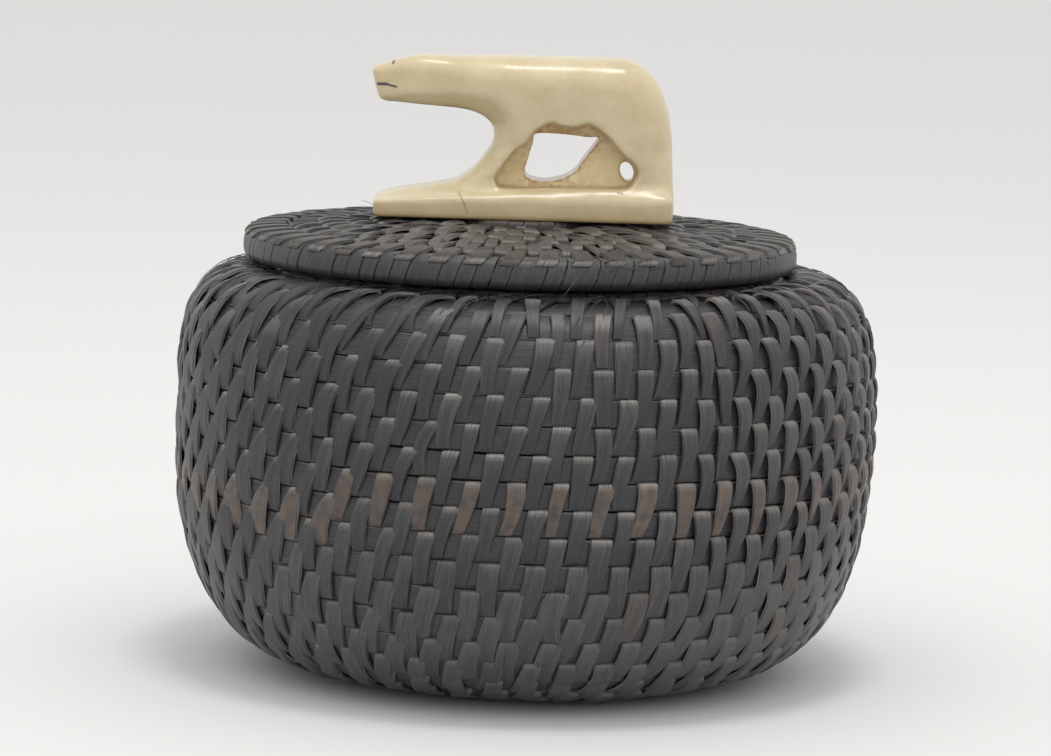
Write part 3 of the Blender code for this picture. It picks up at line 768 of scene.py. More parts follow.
def bound_strips(name, coil, turns, strips_at, habit, finish, brown, tone):
    """All strips of a stretch of the coil. A point of the loop lies at the place of the rod that it
    is anchored to, plus its own step along and out; the lean and the bow move it sideways. The
    habit says for a turn how its strips lie, where that isn't plain: their width, lean and bow, how
    far they stand out, how much they are leaves, claws or closed ranks, how many painted glints of
    light their bodies carry and how loosely they were laid. Each loop also gets painted light on its
    upper half and painted shade on its tucked lower half, and its lip a pale share of wear and
    painted highlight."""
    count = len(turns)
    upper, under = turns[:, None], turns[:, None] - 1
    ways = PLAIN_WAYS | habit(upper)
    loose, leaf, claw, close = (ways[key] for key in ("loose", "leaf", "claw", "close"))
    spread = RANDOM.standard_normal((6, count, 1))

    def held(at_upper, at_under):
        return at_upper * (1 - LOOP_LOWER) + at_under * LOOP_LOWER

    reach = held(coil.thinness(upper), coil.thinness(under))
    along = held(coil.along(upper), coil.along(under)) + LOOP_ALONG * reach
    along = along + HEIGHT_SPREAD * spread[0]
    shape_out = LOOP_OUT + leaf * LOOP_OUTER * (LEAF_OUT - LOOP_OUT)
    held_out = shape_out + (1 - ways["relief"]) * LOOP_OUTER * (FLUSH_OUT - shape_out)
    held_out = held_out + claw * CLAW_BULGE
    out = held(coil.out(upper), coil.out(under)) + held_out * reach
    out = out + OUT_SPREAD * spread[1] * LOOP_OUTER
    room = math.pi * coil.wall.radius(coil.along(upper)) / strips_at(upper) - LEAST_SIDE_GAP
    width = np.minimum(ways["width"], room) * (1 + WIDTH_SPREAD * spread[2])
    width = width * (1 - LOOSE_NARROWING * (loose - 1) * RANDOM.uniform(0, 1, (count, 1)))
    step = along - along.mean(axis=1, keepdims=True)
    aside = (ways["lean"] + LEAN_SPREAD * loose * spread[3]) * step
    bow = (ways["bow"] + BOW_SPREAD * loose * spread[5]) * (1 - (step / HALF_BOW_LENGTH) ** 2)
    aside = aside + bow + loose * SIDE_SPREAD * spread[4]
    side, lift = carried_section(width[:, 0] / 2)
    taper = LOOP_WIDTH + leaf * (LEAF_WIDTH - LOOP_WIDTH) + claw * (CLAW_WIDTH - LOOP_WIDTH)
    taper = taper + close * (1 - leaf) * (CLOSE_WIDTH - taper)
    side = side * taper[..., None]
    twist = TWIST_SPREAD * RANDOM.standard_normal((count, 1, 1)) * LOOP_OUTER[:, None]
    along_all = along[:, :, None] + LOOP_NORMALS[0][None, :, None] * lift
    out_all = out[:, :, None] + LOOP_NORMALS[1][None, :, None] * lift + twist * side
    sideways = (aside[:, :, None] + side) / coil.wall.radius(along)[:, :, None]
    points = coil.wall.place(along_all, coil.angle(turns)[:, None, None] + sideways, out_all)
    even_out = 1 - CLOSE_EVENNESS * close
    # The lip's pale share, wear and painted highlight, is less on close ranks and on flush strips.
    lip_wear_and_highlight = LOOP_LIP_WEAR_AND_HIGHLIGHT * RANDOM.uniform(*LIP_WEAR_AND_HIGHLIGHT, (count, 1)) * even_out
    lip_wear_and_highlight = lip_wear_and_highlight * (FLUSH_LIP_WEAR_AND_HIGHLIGHT + (1 - FLUSH_LIP_WEAR_AND_HIGHLIGHT) * ways["relief"])
    # Painted glints on the strips' bodies join the lip's pale share.
    rub_and_highlight = np.maximum(lip_wear_and_highlight, LOOP_PAINTED_GLINT * ways["worn"] * RANDOM.uniform(*BODY_PAINTED_GLINT, (count, 1)))
    # The painted light and shade of the loop, calmer on leaves and close ranks.
    shade = tone[:, None] + LOOP_PAINTED_LIGHT_AND_SHADE * (1 - LEAF_EVENNESS * leaf) * even_out
    loop = LOOP_FLAT, LOOP_OUT
    return band_piece(name, points, loop, width[:, 0], finish, brown, shade, rub_and_highlight, EDGE_WEAR_AND_HIGHLIGHT)


def band_piece(name, points, path, width, finish, brown, tone, wear_and_highlight, edge_rub_and_highlight):
    """Makes one object of many closed bands, each with its own tone, brownness and fibre pattern.
    The share that is pale from wear and painted highlight counts across the whole band, and each
    band's side edges get a little of it, partly wear and partly a painted highlight."""
    count, rows, columns = points.shape[:3]
    along = path_lengths(*path)[None] + RANDOM.uniform(0, 900, (count, 1))
    section_walk = path_lengths(SECTION_SIDE / 2, SECTION_LIFT / 2)
    across = width[:, None] * section_walk + RANDOM.uniform(0, 90, (count, 1))
    spread = np.ones((count, rows, columns))
    # Side edges pale, partly wear and partly a painted highlight.
    edges = edge_rub_and_highlight * SECTION_EDGE_WEAR_AND_HIGHLIGHT * RANDOM.uniform(0, 1, (count, 1, 1))
    values = {
        "tone": spread * tone[:, :, None],
        "brown": spread * brown[:, None, None],
        "wear_and_highlight": spread * np.maximum(wear_and_highlight[:, :, None], edges),
    }
    faces = grid_faces(count, rows, columns)
    return mesh_piece(name, points, [faces], finish, grid_uv(along, across), values)


def wall_strips_at(turn):
    """Strips to a turn: fewer near the disc, then the same number all the way up the wall."""
    radius = BODY.radius(BODY_COIL.along(turn))
    return np.interp(radius, [14.0, 40.0], [22.5, STRIPS_PER_TURN])


TONE_MIDDLE = 0.45
TONE_SPREAD = 0.10
LOW_FLATNESS = 0.45
ODD_BROWN = (0.15, 0.5)


def to_the_left(turn):
    """1 on the basket's left, as the photograph shows it, 0 at its front and -1 on its right."""
    return -np.cos(BODY_COIL.angle(turn))


def body_lean(turn):
    """Sideways step of a strip for each step up it, which grows to the left and to the mouth."""
    left = to_the_left(turn)
    level = np.interp(left, [-1.0, -0.7, -0.3, 0.0, 0.9], [-0.10, 0.0, 0.14, 0.20, 0.38])
    return level * np.interp(turn, [19, 22, 24], [1.0, 1.3, 1.8])


def body_habit(turn):
    """The strips bow away from the front. They lie flat under the base, so that it stands level,
    close and nearly flat on the bottom part, and loosest near the mouth. Claws are found above the
    brown row, on the right."""
    left = to_the_left(turn)
    upper_part = np.interp(turn, [ACCENT_START - 1, ACCENT_START + 1], [0.2, 1])
    low_part = np.interp(turn, [ACCENT_START - 2.5, ACCENT_START - 0.5], [1, 0])
    return {
        "width": STRIP_WIDTH,
        "lean": body_lean(turn),
        "bow": SIDE_BOW * np.interp(left, [-1, 0, 1], [1.0, 0.0, -0.7]),
        "relief": np.interp(turn, [BASE_END - 2.0, BASE_END], [0, 1]) * (1 - LOW_FLATNESS * low_part),
        "close": low_part,
        "leaf": np.interp(left, [0.35, 0.75], [0, 1]),
        "claw": np.interp(-left, [0.3, 0.75], [0, 1]) * upper_part,
        # Painted glints of light on the strips' bodies, in the rows below the mouth.
        "worn": np.interp(turn, [20.0, 21.0, 22.0, 23.2], [0, 0.9, 0.9, 0.3]),
        "loose": np.interp(turn, [20.5, 23.0], [1.0, 2.6]),
    }


def tones(count):
    return TONE_MIDDLE + TONE_SPREAD * RANDOM.standard_normal(count)


def body_painted_light_and_shade(turn):
    """Painted light and shade: the bottom is painted paler than the belly, and the right side paler
    than the rest.
    """
    by_height = np.interp(turn, [7, 10, 14, 20], [0.55, 0.14, -0.27, -0.36])
    return by_height + np.interp(to_the_left(turn), [-1, 0, 1], [0.34, -0.04, 0.0])


def scattered_brown(coil, turns, share):
    """A few strips split from a brown part of the plate, on the right of the basket more often."""
    right_side = 0.5 + 0.5 * np.cos(coil.angle(turns) + 0.7)
    picked = RANDOM.uniform(size=len(turns)) < share * right_side**6
    return picked * RANDOM.uniform(*ODD_BROWN, len(turns))


def body_stretch(name, first, last, node_name, slot, scattered, brown_share=None):
    """The strips between two turns. Scattered is the share of odd brown ones; where a brown share
    is given, every strip is brown by at least that much."""
    turns = strip_turns(BODY_COIL, wall_strips_at, first, last)
    brown = scattered_brown(BODY_COIL, turns, scattered)
    if brown_share:
        brown = RANDOM.uniform(brown_share, 1.0, len(turns))
    # The random tone of each strip plus the painted light and shade of its place.
    tone = tones(len(turns)) + body_painted_light_and_shade(turns)
    piece = bound_strips(name, BODY_COIL, turns, wall_strips_at, body_habit, WALL_BALEEN, brown, tone)
    set_down(piece, "basket", slot, node_name)


body_stretch("base_strips", 1.0, BASE_END, "base_coil", "baleen_black", 0.04)
body_stretch("lower_wall_strips", BASE_END, ACCENT_START, "lower_wall_coil", "baleen_black", 0.04)
body_stretch("accent_strips", ACCENT_START, ACCENT_END, "accent_coil", "baleen_brown", 0.0, 0.75)
body_stretch("upper_wall_strips", ACCENT_END, BODY_COIL.turns, "upper_wall_coil", "baleen_black", 0.14)

# %% [markdown]
# ## Wrapped rims
#
# The mouth and the edge of the lid end in a thicker course that is wrapped all the way round, strip
# beside strip, so no rod shows. The ring that drops into the mouth is wrapped the same way. Each wrap
# is a closed band again, now round a squared section, and it leans because the wrapping advances as
# it goes round. Inside lies a plain oval core, which only fills the cracks between the wraps.

# %% Wrapped rings
WRAP_LEAN = 0.30
# How pale the wraps' side edges are: wear and a painted highlight.
WRAP_EDGE_WEAR_AND_HIGHLIGHT = 0.30
WRAP_DOME = 1.3
WRAP_SHIFT = 0.05
WRAP_OVERLAP = (1.01, 1.09)
WRAP_TONE_SPREAD = 0.05
BROWN_WRAPS = 0.04
BROWN_WRAP_TONE = 0.5
CORE_SHARE = 0.88
CORE_STEPS = (96, 10)
RIM_WRAPS = 104
FLANGE_WRAPS = 84
FLANGE_RISE = 0.8
MOUTH_PATH = rounded_box(1.9, 1.9, (1.0, 1.0, 0.8, 0.8), 4)
FLANGE_PATH = rounded_box(1.6, 2.8 + FLANGE_RISE, (0.8, 0.8, 0.9, 0.9), 4)
LID_RIM_PATH = (
    np.array([2.0, 1.98, 1.84, 1.5, 0.95, 0.0, -1.1, -2.0, -2.1, -1.6, -0.6, 0.6, 1.35, 1.82]),
    np.array([-0.6, 0.5, 1.3, 1.92, 2.32, 2.47, 2.5, 2.36, 0.3, -1.9, -2.0, -1.98, -1.78, -1.25]),
)


def wrapped_ring(name, centre, radius, path, wraps, cover, lean, finish, shade, rub_and_highlight, proud):
    """Bands side by side round a ring. A band's path goes round the ring's section, and its width is
    the covered share of the way from one band to the next. Its angle shifts with height by the lean.
    The shade array holds a tone for each point of the path, painted shade included, and the next
    array a share that is pale from wear and from a painted highlight."""
    normals = path_normals(*path)
    places = np.arange(wraps) + RANDOM.uniform(-WRAP_SHIFT, WRAP_SHIFT, wraps)
    angle = 2 * math.pi * places / wraps
    width = cover * 2 * math.pi * radius / wraps * RANDOM.uniform(*WRAP_OVERLAP, wraps)
    side, lift = carried_section(width / 2)
    sunk = proud * RANDOM.uniform(-1, 0, (wraps, 1, 1))
    lift = WRAP_DOME * (lift - SECTION_LIFT.max()) + sunk
    ring_radius = radius + path[0][:, None] + normals[0][:, None] * lift
    height = centre[2] + path[1][:, None] + normals[1][:, None] * lift
    turned = angle[:, None, None] + (side + lean * path[1][:, None]) / radius
    points = around_axis(ring_radius, turned, height, centre[0])
    tone = TONE_MIDDLE + WRAP_TONE_SPREAD * RANDOM.standard_normal((wraps, 1)) + shade
    brown = (RANDOM.uniform(size=wraps) < BROWN_WRAPS) * BROWN_WRAP_TONE
    worn = rub_and_highlight * RANDOM.uniform(0, 1, (wraps, 1))
    return band_piece(name, points, path, width, finish, brown, tone, worn, WRAP_EDGE_WEAR_AND_HIGHLIGHT)


def core_ring(name, centre, radius, half_across, half_up):
    """A torus with an oval section, which fills the cracks between the wraps."""
    around, section = (np.linspace(0, 2 * math.pi, steps, endpoint=False) for steps in CORE_STEPS)
    height = centre[2] + half_up * np.sin(section)
    ring_radius = radius + half_across * np.cos(section)
    points = around_axis(ring_radius, around[:, None], height, centre[0])
    tone = np.full(points.shape[:2], TONE_MIDDLE)
    return mesh_piece(name, points, [grid_faces(1, *CORE_STEPS)], WALL_BALEEN, values={"tone": tone})


def wrapped_piece(name, box, path, wraps, body, node_name, proud):
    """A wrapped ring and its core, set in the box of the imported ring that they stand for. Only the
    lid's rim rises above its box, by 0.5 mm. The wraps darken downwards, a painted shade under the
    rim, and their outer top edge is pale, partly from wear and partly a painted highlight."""
    low, high = box
    centre = (low + high) / 2
    half_across, half_up = path[0].max(), -path[1].min()
    middle = (high[0] - low[0]) / 2 - half_across
    raised = path[1] / path[1].max()
    # Painted shade: the wraps are painted darker towards the bottom of their section.
    shade = np.interp(raised, [-0.6, -0.2, 0.4, 1], [-0.30, -0.28, -0.12, 0.05])
    # Their outer top edge is pale: partly wear and partly a painted highlight.
    rub_and_highlight = np.clip(6 * raised - 5, 0, 1) * (path[0] > 0.5 * half_across)
    looks = WALL_BALEEN, shade, rub_and_highlight, proud
    wrap = wrapped_ring(name, centre, middle, path, wraps, 1.0, WRAP_LEAN, *looks)
    set_down(wrap, body, "baleen_black", node_name)
    core = core_ring(name + "_core", centre, middle, half_across * CORE_SHARE, half_up * CORE_SHARE)
    set_down(core, body, "baleen_black")


mouth_box, lid_rim_box = (mouth_low, mouth_high), (lid_rim_low, lid_rim_high)
# The flange is carried up to the lid's rods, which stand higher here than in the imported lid.
flange_box = (flange_low, flange_high + np.array([0, 0, 2 * FLANGE_RISE]))
wrapped_piece("mouth_wraps", mouth_box, MOUTH_PATH, RIM_WRAPS, "basket", "mouth_rim", 0.15)
wrapped_piece("lid_rim_wraps", lid_rim_box, LID_RIM_PATH, RIM_WRAPS, "lid", "lid_rim", 0.12)
wrapped_piece("lid_flange_wraps", flange_box, FLANGE_PATH, FLANGE_WRAPS, "lid", "lid_flange", 0.12)

# %% [markdown]
# ## The lid
#
# The lid is bound like the wall, but it is coiled the other way round, and its strips are browner and
# paler: its top has gathered dust and years of light. They lie flat in front and stand up more at the
# two sides. A last row of strips passes over the rim, so the top of the lid runs unbroken to its
# edge. A wrapped ring beds the plinth round the ivory disc, which it hides.

# %% Lid strips
LID_TONE = 0.05
# The bed's tone is raised to match the front strips, partly as painted light against the shadow under
# the plinth.
BED_TONE_WITH_PAINTED_LIGHT = 0.35
EDGE_STRIPS = 50
EDGE_STRIP_COVER = 0.56
EDGE_STRIP_LEAN = 0.6
EDGE_STRIP_PATH = (
    np.array([1.86, 1.66, 1.20, 0.20, -1.40, -3.00, -4.00, -4.45, -4.20, -3.00, 0.00, 1.30]),
    np.array([1.50, 2.08, 2.52, 2.80, 2.98, 3.10, 3.04, 2.40, 1.80, 1.70, 1.60, 1.65]),
)
BED_WRAPS = 26
BED_LEAN = 0.5
BED_PATH = rounded_box(1.15, 1.0, (0.5, 0.5, 0.4, 0.4), 3)
BEAR_UNDERSIDE = box_mm("bear_finial")[0][2]


def lid_front(turn):
    """1 at the lid's front, as the photograph shows it, and -1 at its back."""
    return -np.sin(LID_COIL.angle(turn))


def lid_habit(turn):
    """Wide flat strips at the front, with narrow slits between them, and fuller ones at the sides."""
    right = np.cos(LID_COIL.angle(turn))
    return {
        "width": np.interp(lid_front(turn), [0.1, 0.7], [2.7, 3.7]),
        "lean": np.interp(right, [-0.5, 0.0, 1.0], [0.12, -0.07, -0.12]),
        "relief": 0.25 + 0.75 * np.abs(right),
    }


def lid_strips_at(turn):
    """Strips to a turn, more on the outer turns. Each number is a whole one and a half, so that the
    rows lie staggered and the strips hide the rod but for a slit."""
    return np.interp(turn, [2.99, 3.0, 5.49, 5.5], [19.5, 31.5, 31.5, 44.5])


lid_turns = strip_turns(LID_COIL, lid_strips_at, 1.0, LID_COIL.turns)
lid_brown = scattered_brown(LID_COIL, lid_turns, 0.25)
# Painted light and shade: the lid's strips are painted paler at its front and darker towards its sides.
lid_tone_with_painted_light = tones(len(lid_turns)) + np.interp(lid_front(lid_turns), [0.2, 0.9], [-0.45, 0.15])
lid_strips = bound_strips(
    "lid_strips", LID_COIL, lid_turns, lid_strips_at, lid_habit, LID_BALEEN, lid_brown, lid_tone_with_painted_light
)
set_down(lid_strips, "lid", "baleen_black", "lid_coil")


def lid_ring(name, centre, radius, path, wraps, cover, lean, tone, rub_and_highlight, proud):
    """A row of bands of the lid's own baleen, with one tone all over."""
    shade = np.full_like(path[0], tone)
    ring = wrapped_ring(name, centre, radius, path, wraps, cover, lean, LID_BALEEN, shade, rub_and_highlight, proud)
    set_down(ring, "lid", "baleen_black")


# Pale along the rim's outer top edge: partly wear and partly a painted highlight.
edge_rub_and_highlight = np.interp(EDGE_STRIP_PATH[0], [1.4, 1.62, 1.70, 1.84], [0, 0.7, 0.7, 0])
lid_ring(
    "lid_edge_strips", (lid_rim_low + lid_rim_high) / 2, LID_RADIUS - LID_RIM_SECTION / 2,
    EDGE_STRIP_PATH, EDGE_STRIPS, EDGE_STRIP_COVER, EDGE_STRIP_LEAN, LID_TONE, edge_rub_and_highlight, 0.08,
)
bed_middle = np.array([LID_CENTRE_X, 0.0, BEAR_UNDERSIDE - BED_PATH[1].max()])
lid_ring(
    "plinth_bed", bed_middle, LID_DISC_RADIUS + BED_PATH[0].max(),
    BED_PATH, BED_WRAPS, 1.0, BED_LEAN, BED_TONE_WITH_PAINTED_LIGHT, np.zeros_like(BED_PATH[0]), 0.10,
)

# %% [markdown]
# ## Lacing
#
# Narrow strips tie each starter disc to the first turn of its coil. Each goes down through a hole
# drilled near the disc's edge, out under the first turn and back over it. They are the same kind of
# band as the wraps, set apart from each other.

# %% Lacing
LACING_WIDTH = 1.1
BASE_HOLES = 22
LID_HOLES = 12


def lacing_path(below):
    """Loop round the disc's edge, out from it and up from the disc's middle; below is how far it
    lies under that middle."""
    top = [(2.85, 0.0), (2.70, 1.2), (2.3, 1.62), (1.0, 1.72), (-0.8, 1.70), (-1.45, 1.64), (-1.7, 1.3)]
    bottom = [(-1.7, 0.35 - below), (-1.45, -below), (-0.8, -below), (1.0, -below), (2.3, 0.04 - below),
              (2.70, 0.4 - below)]
    return tuple(np.array(top + bottom).T)


def lacing(name, box, holes, below, body):
    low, high = box
    radius = (high[1] - low[1]) / 2
    cover = LACING_WIDTH * holes / (2 * math.pi * radius)
    centre = np.array([(LID_CENTRE_X if body == "lid" else 0.0), 0.0, (low[2] + high[2]) / 2])
    path = lacing_path(below)
    plain = np.zeros(len(path[0]))
    ring = wrapped_ring(name, centre, radius, path, holes, cover, 0.0, WALL_BALEEN, plain, plain, 0.02)
    set_down(ring, body, "baleen_black")


lacing("base_lacing", (base_disc_low, base_disc_high), BASE_HOLES, 1.42, "basket")
lacing("lid_lacing", (lid_disc_low, lid_disc_high), LID_HOLES, 1.64, "lid")

# %% [markdown]
# ## Loose fibres
#
# Baleen frays. Along the front of the lid a few fibres have split off and stand away, and the last
# rows below the mouth are covered with fine splinters that still lie on the wall. Each fibre is a
# thin four-sided tube along a bent line, thinner towards its free end.

# %% Loose fibres
FIBRE_RADIUS = 0.06
FIBRE_ROWS = 14
# Where each fibre of the lid is rooted, in degrees round its rim, and the fibre's length.
LID_FIBRES = [
    (-88, 4), (-82, 3), (-77, 6), (-74, 4), (-70, 5), (-66, 8), (-63, 5), (-60, 4), (-112, 3),
    (-135, 4), (-30, 5), (40, 4), (120, 5), (170, 4),
]
LID_FIBRE_RADIUS = 39.3
LID_FIBRE_HEIGHT = 61.2
LID_FIBRE_RISE = (-0.9, 0.5)
SPLINTERS = 200
SPLINTER_TURNS = (21.2, 24.0)
SPLINTER_LENGTHS = (2.5, 6.0)
SPLINTER_LEANS = (0.4, 2.6)
SPLINTER_TOP = 1.4
SPLINTER_SLANT = 0.2
SPLINTER_OUT = 1.72
SPLINTER_RISE = 0.15


def fibre_tubes(name, body, lines):
    """Closed tubes along lines, an array of count x rows x 3. The section is square, in a frame that
    each line's own direction makes with the direction outwards and up."""
    count, rows = lines.shape[:2]
    ahead = np.gradient(lines, axis=1)
    across = unit(np.cross(ahead, unit(lines * np.array([1, 1, 0])) + np.array([0, 0, 1])))
    other = unit(np.cross(ahead, across))
    radius = (FIBRE_RADIUS * np.linspace(1, 0.4, rows))[None, :, None, None]
    turn = np.radians([45, 135, 225, 315])[:, None]
    around = across[:, :, None] * np.cos(turn) + other[:, :, None] * np.sin(turn)
    first = np.arange(count)[:, None] * rows * 4
    ends = [first + np.arange(4)[::-1], first + (rows - 1) * 4 + np.arange(4)]
    faces = np.concatenate([grid_faces(count, rows, 4, close_rows=False), *ends])
    tone = np.broadcast_to(RANDOM.uniform(0.5, 1.0, (count, 1, 1)), (count, rows, 4))
    points = lines[:, :, None] + radius * around
    tubes = mesh_piece(name, points, [faces], LID_BALEEN, values={"tone": tone})
    set_down(tubes, body, "baleen_black")


def lid_fibre_lines():
    """Lines that root on the lid's rim and run mostly along it, a little outwards and up: start +
    heading * length * t, bent off by two waves that grow from the root."""
    degrees, lengths = np.array(LID_FIBRES, float).T
    angle = np.radians(degrees)
    out = around_axis(1.0, angle, 0.0)
    round_it = np.stack([-np.sin(angle), np.cos(angle), 0 * angle], axis=1)
    count = len(angle)
    heading = RANDOM.choice([-1, 1], (count, 1)) * round_it + out * RANDOM.uniform(0.1, 0.8, (count, 1))
    heading = unit(heading + np.array([0, 0, 1]) * RANDOM.uniform(*LID_FIBRE_RISE, (count, 1)))
    side = np.cross(heading, [0.0, 0.0, 1.0])
    bends = RANDOM.uniform(-0.35, 0.35, (2, count, 1, 1))
    waves = RANDOM.uniform(1.0, 3.5, (2, count, 1, 1))
    t = np.linspace(0, 1, FIBRE_ROWS)[None, :, None]
    path = heading[:, None] * t + side[:, None] * bends[0] * t * np.sin(waves[0] * t)
    path = path + np.cross(heading, side)[:, None] * bends[1] * t * np.sin(waves[1] * t)
    start = out * LID_FIBRE_RADIUS + np.array([0, 0, LID_FIBRE_HEIGHT])
    return start[:, None] + path * lengths[:, None, None] + np.array([LID_CENTRE_X, 0, 0])


def splinter_lines():
    """Lines that lie on the last rows: each runs down the wall by its length and sideways by its
    lean, and rises off the strips a little in its middle."""
    turn = RANDOM.uniform(*SPLINTER_TURNS, SPLINTERS)[:, None]
    t = np.linspace(0, 1, 8)[None, :]
    length = RANDOM.uniform(*SPLINTER_LENGTHS, (SPLINTERS, 1))
    along = BODY_COIL.along(turn) + SPLINTER_TOP - length * t
    lean = SPLINTER_SLANT + body_lean(turn) * RANDOM.uniform(*SPLINTER_LEANS, (SPLINTERS, 1))
    aside = lean * length * (0.5 - t) + RANDOM.uniform(-0.3, 0.3, (SPLINTERS, 1)) * np.sin(3 * t)
    out = SPLINTER_OUT + RANDOM.uniform(0.0, SPLINTER_RISE, (SPLINTERS, 1)) * np.sin(math.pi * t)
    angle = RANDOM.uniform(0, 2 * math.pi, (SPLINTERS, 1)) + aside / BODY.radius(along)
    return BODY.place(along, angle, out)


fibre_tubes("lid_fibres", "lid", lid_fibre_lines())
fibre_tubes("wall_splinters", "basket", splinter_lines())

# %% [markdown]
# ## Ivory
#
# Old walrus ivory is a warm cream, a little see-through, and polished by handling. Dirt and age have
# turned it yellow and brown where fingers don't reach: inside the arch under the belly, round the
# holes and along the bottom of the plinth. Inside the arch the cream is also painted lighter, a
# painted light against the shade there. The maker marked the bear's mouth and eyes with dark lines,
# and a fine crack runs down the plinth. The marks are drawn by the material: each is the distance
# from a short line, seen from the side.

# %% Ivory material
bear_low = box_mm("bear_finial")[0]
GRAIN_MM = 5.0
MOTTLE_MM = 0.8
CARVING_MARKS = 0.35 * MM
VEIN_CONTRAST = 0.4
UNDERSIDE_REACH = 2.2
UNDERSIDE_DIRT = 0.8
# Each mark's start and end in the side view, from the nose and above the plinth's underside, its
# width, the width over which it fades, its ink, and whether it is on both sides of the bear.
BEAR_MARKS = [
    ((0.7, 18.3), (2.0, 18.35), 0.34, 0.10, "#453f3c", True),
    ((2.0, 18.3), (3.3, 18.05), 0.20, 0.10, "#4c4541", True),
    ((2.75, 21.3), (2.95, 21.9), 0.22, 0.10, "#57493a", True),
    ((12.6, 3.7), (13.4, 2.3), 0.05, 0.12, "#94815c", False),
    ((13.4, 2.3), (13.9, 0.9), 0.05, 0.12, "#94815c", False),
    ((35.0, 4.3), (35.7, 4.2), 0.14, 0.08, "#5d5140", False),
]


def line_mark(tree, place, start, end, width, fade):
    """Share that is 1 on a line seen from the side and 0 beyond its width. With p from the start, e
    along the line: distance = |p - e * clamp(p . e / e . e)|."""
    start_at, end_at = (
        Vector(((bear_low[0] + x) * MM, 0.0, (bear_low[2] + z) * MM)) for x, z in (start, end)
    )
    run = end_at - start_at
    from_start = vectors(tree, "SUBTRACT", {0: place, 1: tuple(start_at)})
    dot = vectors(tree, "DOT_PRODUCT", {0: from_start, 1: tuple(run)}, "Value")
    share = maths(tree, "DIVIDE", dot, run.length_squared, clamp=True)
    step = vectors(tree, "SCALE", {0: tuple(run), "Scale": share})
    apart = vectors(tree, "DISTANCE", {0: from_start, 1: step}, "Value")
    return graded(tree, apart, width / 2 * MM, (width / 2 + fade) * MM, start=1.0, end=0.0)


def ivory_material():
    """Cream that varies by the grain, yellower and lighter in the carved recess, the lightness being
    painted light against the recess's shade, brown in stained spots and darker along the underside,
    with the maker's marks on top."""
    made, tree, shader = new_material(
        "polished_walrus_ivory", Roughness=0.29, IOR=1.54, Subsurface_Weight=0.25,
        Subsurface_Scale=1.2 * MM, Coat_Weight=0.18, Coat_Roughness=0.16,
    )
    place = node(tree, "TexCoord")["Object"]
    grain = noise(tree, place, GRAIN_MM, 3.0)
    mottle = noise(tree, place, MOTTLE_MM, 2.0)
    veins = maths(tree, "MULTIPLY_ADD", mottle, VEIN_CONTRAST, -VEIN_CONTRAST / 2)
    grown = maths(tree, "ADD", grain, veins, clamp=True)
    cream = mix_colour(tree, grown, linear("#b9a780"), linear("#d6c8a5"))
    recess, stain = [carried(tree, label) for label in ("recess", "stain")]
    height = node(tree, "SeparateXYZ", {0: place})["Z"]
    underside = bear_low[2] * MM, (bear_low[2] + UNDERSIDE_REACH) * MM
    low_down = graded(tree, height, *underside, start=UNDERSIDE_DIRT, end=0.0)
    patchy = graded(tree, mottle, 0.40, 0.58)
    stained = maths(tree, "MULTIPLY", stain, patchy)
    # The recess is painted yellower and lighter than the cream: yellowing, and painted light against
    # its shade.
    colour = mix_colour(tree, recess, cream, linear("#e6d5a6"))
    colour = mix_colour(tree, stained, colour, linear("#bd9864"))
    colour = mix_colour(tree, low_down, colour, linear("#b59d6e"))
    flat = vectors(tree, "MULTIPLY", {0: place, 1: (1.0, 0.0, 1.0)})
    side = node(tree, "SeparateXYZ", {0: place})["Y"]
    near_side = maths(tree, "LESS_THAN", side, 0.0)
    for start, end, width, fade, ink, both_sides in BEAR_MARKS:
        mark = line_mark(tree, flat, start, end, width, fade)
        if not both_sides:
            mark = maths(tree, "MULTIPLY", mark, near_side)
        colour = mix_colour(tree, mark, colour, linear(ink))
    dress(tree, shader, colour, grain, 0.6, CARVING_MARKS)
    return made


IVORY = ivory_material()
for node_name in ("base_starter_disc", "lid_starter_disc", "front_peg", "rear_peg"):
    disc_or_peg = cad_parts[node_name]
    disc_or_peg.data.materials.clear()
    disc_or_peg.data.materials.append(IVORY)
print("the ivory has", len(BEAR_MARKS), "marks, and four small pieces are made of it too")

# %% [markdown]
# ## The bear as a field of distances
#
# Carving takes material away from a block, and a distance field does the same: each point of a fine
# grid holds how far it lies outside the ivory, or below zero inside it. Where two shapes both hold,
# the larger distance counts, and where either holds, the smaller. Rounded versions of these two
# rules give the worn edges and the soft hollows. The side view is traced from the photograph as
# outlines, in millimetres from the nose and above the plinth's underside, and the width is given
# along the body.

# %% Outlines of the bear
BEAR_SIDE = [
    (-0.2, 20.1), (0.0, 19.2), (0.2, 18.3), (0.5, 17.3), (0.9, 16.3), (1.8, 15.9), (4.0, 15.8),
    (6.5, 15.6), (9.5, 15.4), (12.2, 15.2), (14.3, 14.8), (15.9, 14.1), (17.0, 13.0), (17.3, 11.8),
    (17.0, 10.2), (16.0, 8.1), (14.8, 6.4), (13.3, 5.2), (12.0, 3.0), (12.0, 1.2), (43.0, 1.2),
    (43.1, 3.0), (42.9, 7.0), (42.5, 12.0), (41.9, 15.8), (40.7, 18.8), (39.1, 21.0), (37.0, 22.3),
    (34.5, 22.8), (25.0, 22.8), (15.5, 22.7), (11.4, 22.5), (9.2, 22.6), (6.5, 22.6), (4.2, 22.1),
    (2.4, 21.5), (0.9, 21.1), (0.1, 20.7),
]
RAMP_SIDE = [
    (3.0, 1.0), (2.6, 2.2), (4.6, 3.1), (9.7, 4.3), (13.3, 5.4), (15.5, 7.2), (18.0, 9.0),
    (20.0, 5.0), (20.0, 1.0),
]
